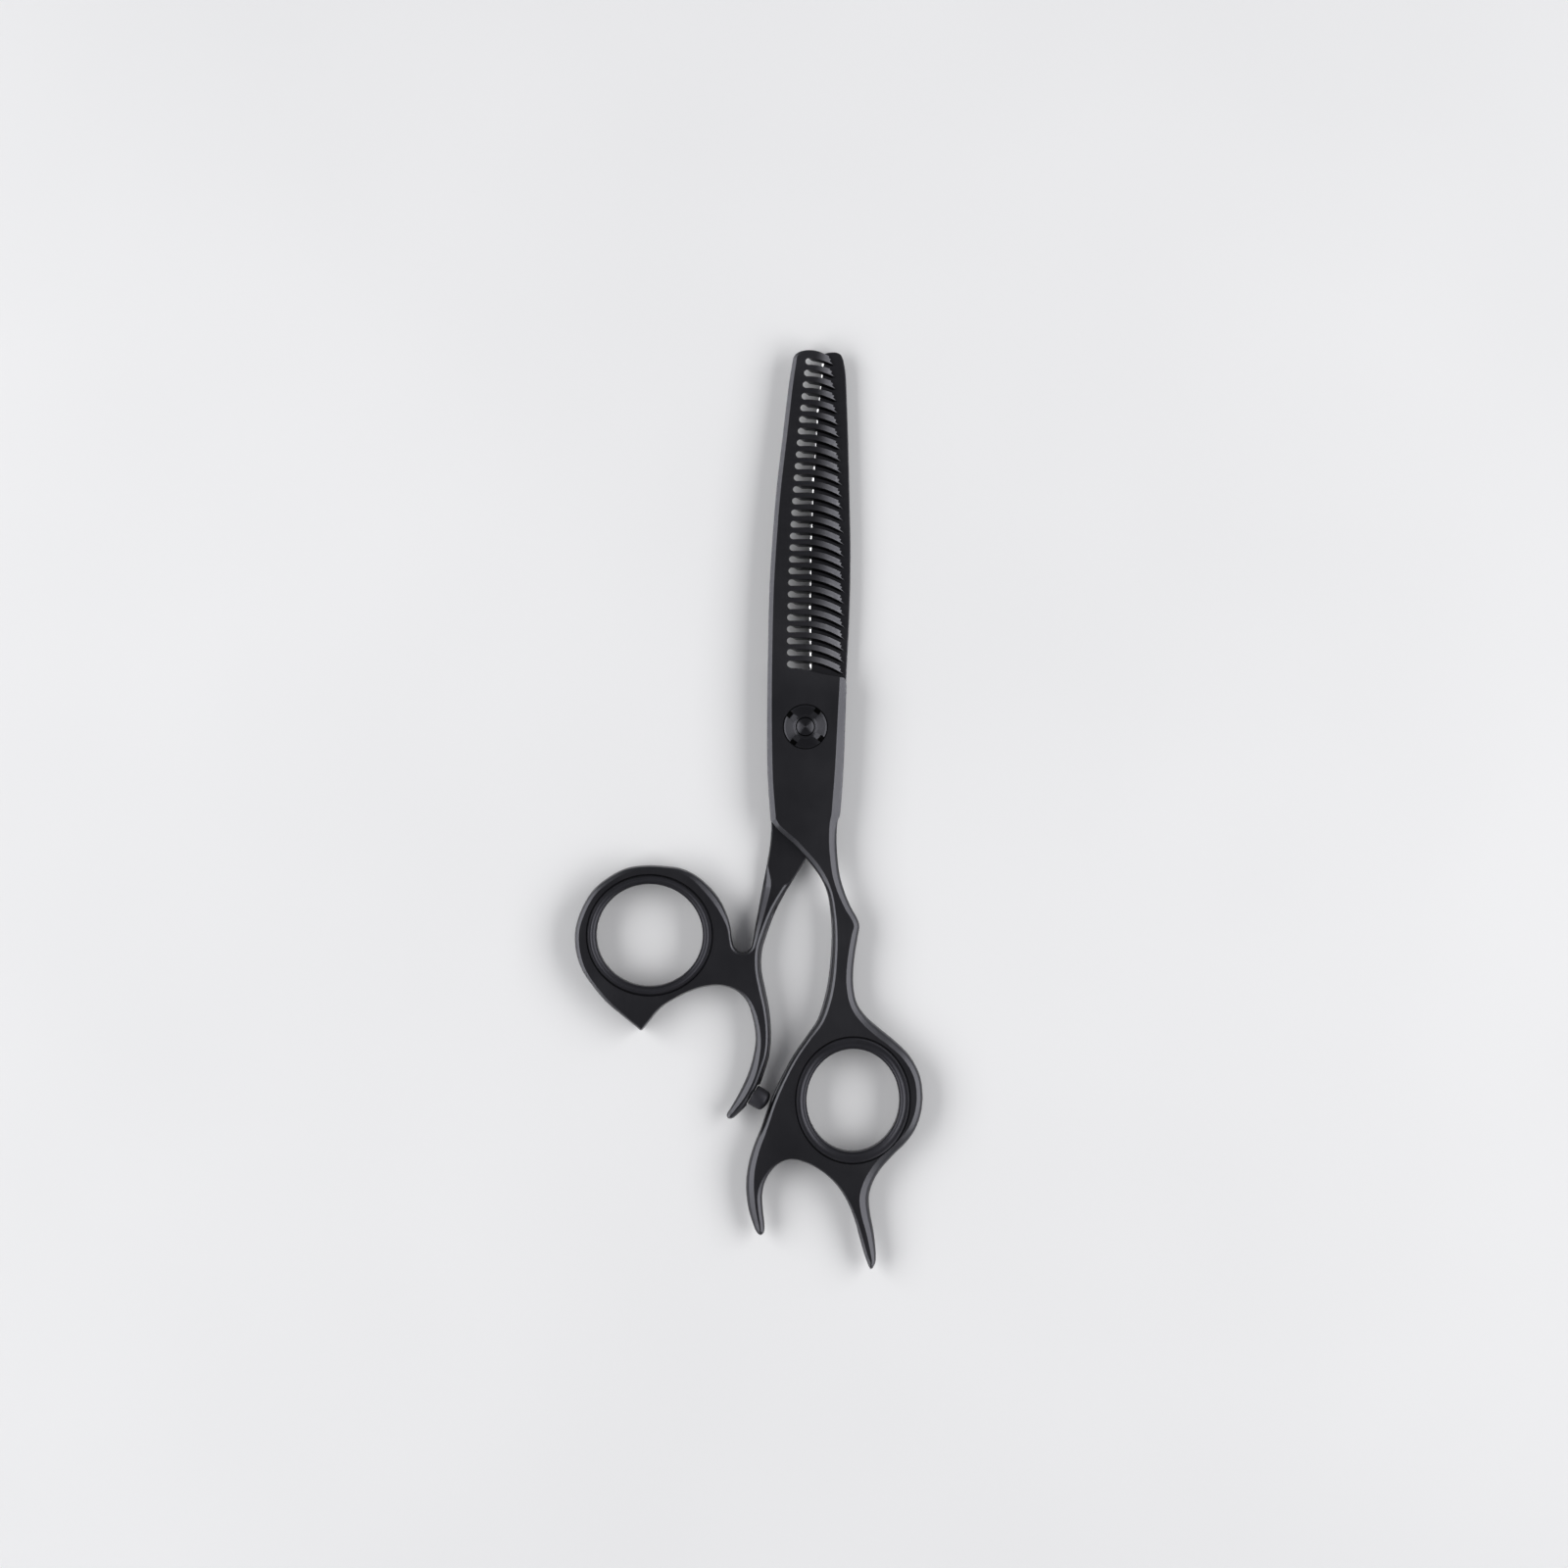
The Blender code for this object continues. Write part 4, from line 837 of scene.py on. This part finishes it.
def make_bumper(finish):
    """The rubber bumper on the hook, a domed peg."""
    laid_down = Matrix.Rotation(math.pi / 2, 4, "Y")
    turn = Matrix.Rotation(math.radians(BUMPER_ANGLE), 4, "Z") @ laid_down
    place = Matrix.Translation((BUMPER_SEAT[0] * MM, BUMPER_SEAT[1] * MM, PARTING * MM)) @ turn
    profile = [(0, BUMPER_LENGTH), (0.8, BUMPER_LENGTH - 0.08), (1.45, BUMPER_LENGTH - 0.32),
               (BUMPER_R - 0.08, BUMPER_LENGTH - 0.75), (BUMPER_R, 1.6), (BUMPER_R, 0.1),
               (0.85, 0.1), (0.85, 1.3), (0, 1.3)]
    return turned("bumper_pad_fine", soften(profile, 0.22), finish, place, 72)


class Nodes:
    """A short way to write a material's node tree."""

    def __init__(self, name):
        self.material = bpy.data.materials.new(name)
        self.material.use_nodes = True
        self.tree = self.material.node_tree
        self.shader = self.tree.nodes["Principled BSDF"]
        self.where = self.tree.nodes.new("ShaderNodeTexCoord").outputs["Object"]

    def add(self, kind, settings=None, **inputs):
        made = self.tree.nodes.new("ShaderNode" + kind)
        for key, value in (settings or {}).items():
            setattr(made, key, value)
        for key, value in inputs.items():
            self.put(made, key.replace("_", " "), value)
        return made

    def put(self, target, key, value):
        socket = target.inputs[int(key) if key.isdigit() else key]
        if isinstance(value, bpy.types.NodeSocket):
            self.tree.links.new(value, socket)
        else:
            socket.default_value = value

    def noise(self, scale, detail=2.0, stretch=None, rough=0.5):
        """A noise whose scale is in features per millimetre."""
        where = self.where
        if stretch:
            where = self.add("Mapping", Vector=where, Scale=stretch).outputs["Vector"]
        return self.add("TexNoise", Vector=where, Scale=scale / MM, Detail=detail,
                        Roughness=rough).outputs["Fac"]

    def fit(self, value, low, high, start=0.3, end=0.7):
        """The value, from start to end, as low to high."""
        made = self.add("MapRange", Value=value)
        for key, number in (("From Min", start), ("From Max", end),
                            ("To Min", low), ("To Max", high)):
            made.inputs[key].default_value = number
        return made.outputs["Result"]

    def calc(self, operation, a, b):
        made = self.add("Math", {"operation": operation})
        self.put(made, "0", a)
        self.put(made, "1", b)
        return made.outputs[0]

    def blend(self, factor, a, b):
        made = self.add("Mix", {"data_type": "RGBA"}, Factor=factor)
        for i, value in ((6, a), (7, b)):
            self.put(made, str(i), value)
        return made.outputs[2]

    def bump(self, height, depth):
        """A bump with a height of 1 standing depth millimetres proud."""
        made = self.add("Bump", Height=height, Distance=depth * MM, Strength=1.0)
        return made.outputs["Normal"]

    def finish(self, **inputs):
        for key, value in inputs.items():
            self.put(self.shader, key.replace("_", " "), value)
        return self.material


def grey(value, blue):
    """A grey whose blue is that many times its red and green."""
    return (value, value, value * blue, 1.0)


def coating(name, turned_marks=False, painted_pit_shade=False):
    """Black coated steel: satin, faintly mottled and brushed, and paler near its edges and
    ridges, partly as rubbed wear and partly as a painted highlight.
    Turned parts have their marks round the pivot and not along the blade. The dial's
    notches can have their floor painted near black: painted shade, as in a deep pit."""
    n = Nodes(name)
    cloud = n.noise(0.07, 3.0)
    grain = n.noise(3.2, 3.0, rough=0.65)
    if turned_marks:
        radius = n.add("VectorMath", {"operation": "LENGTH"}, **{"0": n.add(
            "VectorMath", {"operation": "MULTIPLY"}, **{"0": n.where, "1": (1, 1, 0)}).outputs[0]})
        marks = n.add("TexNoise", {"noise_dimensions": "1D"}, W=radius.outputs["Value"],
                      Scale=9 / MM, Detail=2.0).outputs["Fac"]
    else:
        marks = n.noise(5.0, 2.0, (1.0, 0.03, 1.0))
    # Paler, smoother coating where the wear attribute and a noise mask meet: partly rubbed wear,
    # partly a painted highlight on edges and ridges.
    wear_sheen_layer = n.add("Attribute", {"attribute_name": "wear_and_sheen"}).outputs["Fac"]
    rubbed_and_sheen = n.calc("MULTIPLY", wear_sheen_layer, n.fit(n.noise(1.1, 4.0, rough=0.7), 0.0, 1.0, 0.42, 0.66))
    base = n.blend(n.fit(cloud, 0, 1), grey(0.056, 1.12), grey(0.072, 1.1))
    base = n.blend(n.calc("MULTIPLY", rubbed_and_sheen, 0.2), base, grey(0.17, 1.04))
    rough = n.calc("ADD", n.fit(cloud, 0.33, 0.38), n.fit(marks, -0.012, 0.012))
    rough = n.calc("ADD", rough, n.calc("MULTIPLY", rubbed_and_sheen, -0.05))
    height = n.calc("ADD", n.calc("MULTIPLY", marks, 0.6), n.calc("MULTIPLY", grain, 0.4))
    # Painted shade: below 0.1 to 0.3 mm above the notch floor the dial's base colour goes near
    # black, as a deep shadowed pit would look.
    if painted_pit_shade:
        level = n.add("SeparateXYZ", Vector=n.where).outputs["Z"]
        above_pit_shade = n.fit(level, 0, 1, (PIT_FLOOR + 0.1) * MM, (PIT_FLOOR + 0.3) * MM)
        base = n.blend(above_pit_shade, grey(0.012, 1.0), base)
    if turned_marks:
        around = n.add("Tangent", {"direction_type": "RADIAL", "axis": "Z"}).outputs["Tangent"]
        n.finish(Anisotropic=0.85, Anisotropic_Rotation=0.25, Tangent=around)
    return n.finish(Base_Color=base, Roughness=rough, Metallic=1.0,
                    Normal=n.bump(height, 0.003 if turned_marks else 0.0012))


def ground_steel():
    """The honed strip along the cutting edge, with fine marks across it."""
    n = Nodes("honed_steel")
    marks = n.noise(7.0, 2.0, (0.12, 1.0, 1.0))
    tint = n.blend(n.fit(n.noise(0.5, 2.0), 0, 1), grey(0.62, 1.01), grey(0.8, 1.0))
    return n.finish(Base_Color=tint, Roughness=n.fit(marks, 0.2, 0.34), Metallic=1.0,
                    Normal=n.bump(marks, 0.002))


def elastomer(name, dark, light, rough, grain_depth):
    """Black rubber: fine-grained, a little glossier where it is handled."""
    n = Nodes(name)
    grain = n.noise(4.5, 3.0, rough=0.6)
    cloud = n.noise(0.12, 3.0)
    base = n.blend(n.fit(cloud, 0, 1), grey(dark, 1.15), grey(light, 1.15))
    return n.finish(Base_Color=base, Metallic=0.0, Specular_IOR_Level=0.6,
                    Specular_Tint=(0.88, 0.87, 1.0, 1.0),
                    Roughness=n.calc("ADD", n.fit(cloud, rough - 0.05, rough + 0.05),
                                     n.fit(grain, -0.03, 0.03)),
                    Normal=n.bump(grain, grain_depth))


def plain_metal(name):
    """Bright spring steel with fine drawn marks."""
    n = Nodes(name)
    marks = n.noise(6.0, 2.0, (1.0, 0.05, 1.0))
    tint = n.blend(n.fit(n.noise(0.4, 2.0), 0, 1), grey(0.45, 1.03), grey(0.6, 1.02))
    return n.finish(Base_Color=tint, Roughness=n.fit(marks, 0.24, 0.36), Metallic=1.0,
                    Normal=n.bump(marks, 0.002))


def nylon():
    """Off-white moulded nylon, faintly mottled."""
    n = Nodes("washer_nylon")
    cloud = n.noise(0.5, 3.0)
    tint = n.blend(n.fit(cloud, 0, 1), (0.62, 0.6, 0.54, 1), (0.72, 0.7, 0.65, 1))
    return n.finish(Base_Color=tint, Roughness=n.fit(cloud, 0.42, 0.52), Metallic=0.0,
                    Subsurface_Weight=0.05, Normal=n.bump(n.noise(3.0, 2.0), 0.004))


def paper():
    """The studio floor, a plain pale sheet."""
    n = Nodes("floor_paper")
    base = n.blend(n.fit(n.noise(0.01, 2.0), 0, 1), (0.84, 0.84, 0.845, 1), (0.87, 0.87, 0.875, 1))
    return n.finish(Base_Color=base, Roughness=0.75, Metallic=0.0, Specular_IOR_Level=0.2)


def softbox(name, place):
    """A large soft light, aimed at the middle of the shears."""
    light = bpy.data.lights.new(name, "AREA")
    light.shape = "RECTANGLE"
    light.size, light.size_y = LIGHT_SIZE
    light.energy = LIGHT_POWER
    obj = placed(name, light)
    obj.location = place
    towards = Vector(LIGHT_AIM) - Vector(place)
    obj.rotation_euler = towards.to_track_quat("-Z", "Y").to_euler()


def studio():
    """Floor, soft light from both sides, a dark ceiling, and the camera straight above."""
    bm = bmesh.new()
    bmesh.ops.create_grid(bm, x_segments=8, y_segments=8, size=2.5)
    bmesh.ops.translate(bm, verts=bm.verts[:], vec=(0, 0, -0.03 * MM))
    floor = piece_of(bm, "floor", paper())
    softbox("left_softbox", (-0.62, -0.02, 0.5))
    softbox("right_softbox", (0.62, -0.02, 0.5))

    world = bpy.data.worlds.new("studio")
    bpy.context.scene.world = world
    world.use_nodes = True
    tree = world.node_tree
    background = tree.nodes["Background"]
    where = tree.nodes.new("ShaderNodeTexCoord")
    split = tree.nodes.new("ShaderNodeSeparateXYZ")
    ramp = tree.nodes.new("ShaderNodeValToRGB")
    tree.links.new(where.outputs["Generated"], split.inputs[0])
    tree.links.new(split.outputs["Z"], ramp.inputs[0])
    tree.links.new(ramp.outputs["Color"], background.inputs["Color"])
    ramp.color_ramp.elements[0].position = 0.1
    ramp.color_ramp.elements[0].color = (0.62, 0.63, 0.65, 1)
    ramp.color_ramp.elements[1].position = 0.72
    ramp.color_ramp.elements[1].color = (0.16, 0.16, 0.17, 1)

    data = bpy.data.cameras.new("camera")
    data.lens, data.sensor_width = LENS, SENSOR
    data.clip_end = 50
    camera = placed("camera", data)
    camera.location = (VIEW_X * MM, VIEW_Y * MM, (VIEW_WIDTH * LENS / SENSOR + PARTING) * MM)
    bpy.context.scene.camera = camera
    bpy.context.scene.view_settings.view_transform = "Standard"


# The studio's lights, in metres and watts, and its camera, in millimetres.
LIGHT_SIZE, LIGHT_POWER, LIGHT_AIM = (0.95, 0.5), 4.6, (0, -0.01, 0)
LENS, SENSOR = 150.0, 36.0
VIEW_X, VIEW_Y, VIEW_WIDTH = -4.03, -10.8, 296.0


def joined(obj, body, slot, *nodes):
    """Makes a piece ride on a body and stand for CAD nodes, which it hides. The slot is not used.
    """
    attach(obj, body)
    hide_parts(*nodes)


def main():
    metal = coating("black_coating")
    turned_metal = coating("black_coating_turned", turned_marks=True)
    dial_metal = coating("black_coating_dial", turned_marks=True, painted_pit_shade=True)
    honed = ground_steel()
    insert_rubber = elastomer("insert_rubber", 0.004, 0.007, 0.38, 0.003)
    bumper_rubber = elastomer("bumper_rubber", 0.005, 0.009, 0.5, 0.006)

    # Each seat is a hole through a half: its rim on both faces, and its wall from the
    # outer face down, as radius and height from the parting plane.
    ring_seats = []
    for centre, size, lip_width, lean in ((THUMB_RING, THUMB_OVAL, THUMB_LIP, 0.0),
                                          (FINGER_RING, FINGER_OVAL, FINGER_LIP, FINGER_LEAN)):
        mean = sum(size) / 2
        lip, bore = mean + lip_width + FIT, mean + INSERT_WALL + FIT
        seat = HANDLE - REBATE
        ring_seats.append({
            "at": (centre, (size[0] / mean, size[1] / mean), lean), "count": 128,
            "outer": lip + RING_RIM, "inner": lip + RING_RIM,
            "wall": [(lip, HANDLE - RING_RIM), (lip, seat), (bore, seat), (bore, -seat),
                     (lip, -seat), (lip, RING_RIM - HANDLE)]})
    pivot = ((0, 0), (1, 1), 0)
    recess, bore = RICASSO - DIAL_RECESS, BUSH_R + 0.05
    dial_seat = {
        "at": pivot, "count": 96, "outer": DIAL_RECESS_R + PIVOT_RIM, "inner": WASHER_SEAT_R,
        "wall": [(DIAL_RECESS_R, RICASSO - PIVOT_RIM), (DIAL_RECESS_R, recess), (bore, recess),
                 (bore, WASHER_SEAT), (WASHER_SEAT_R, WASHER_SEAT)]}
    head, hole = STUD_HEAD_R + FIT, STUD_R + FIT
    head_seat = {
        "at": pivot, "count": 96, "outer": head + PIVOT_RIM, "inner": WASHER_SEAT_R,
        "wall": [(head, RICASSO - PIVOT_RIM), (head, PARTING - STUD_HEAD - FIT),
                 (hole, PARTING - STUD_HEAD - FIT), (hole, WASHER_SEAT),
                 (WASHER_SEAT_R, WASHER_SEAT)]}
    comb = make_half("comb_half", "comb", 1, [dial_seat, ring_seats[1]], metal, honed)
    plain = make_half("plain_half", "plain", -1, [head_seat, ring_seats[0]], metal, honed)
    joined(comb, "finger_half", "coated_steel", "comb_blade", "finger_handle")
    joined(plain, "thumb_half", "coated_steel", "plain_blade", "thumb_handle")
    joined(make_dial(dial_metal), "tension_dial", "coated_steel", "tension_dial")
    joined(make_stud(turned_metal), "thumb_half", "coated_steel", "pivot_stud")
    joined(make_insert("thumb_insert_fine", THUMB_RING, THUMB_OVAL, THUMB_LIP, 0.0,
                       insert_rubber), "thumb_half", "soft_insert", "thumb_insert")
    joined(make_insert("finger_insert_fine", FINGER_RING, FINGER_OVAL, FINGER_LIP, FINGER_LEAN,
                       insert_rubber), "finger_half", "soft_insert", "finger_insert")
    joined(make_bumper(bumper_rubber), "thumb_half", "bumper_rubber", "bumper_pad")

    hidden = {"pivot_bush": nylon(), "click_spring": plain_metal("spring_steel")}
    hidden["blade_washer"] = hidden["thrust_washer"] = hidden["pivot_bush"]
    hidden["bumper_stud"] = hidden["click_spring"]
    for node, finish in hidden.items():
        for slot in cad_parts[node].material_slots:
            slot.material = finish
    studio()


main()
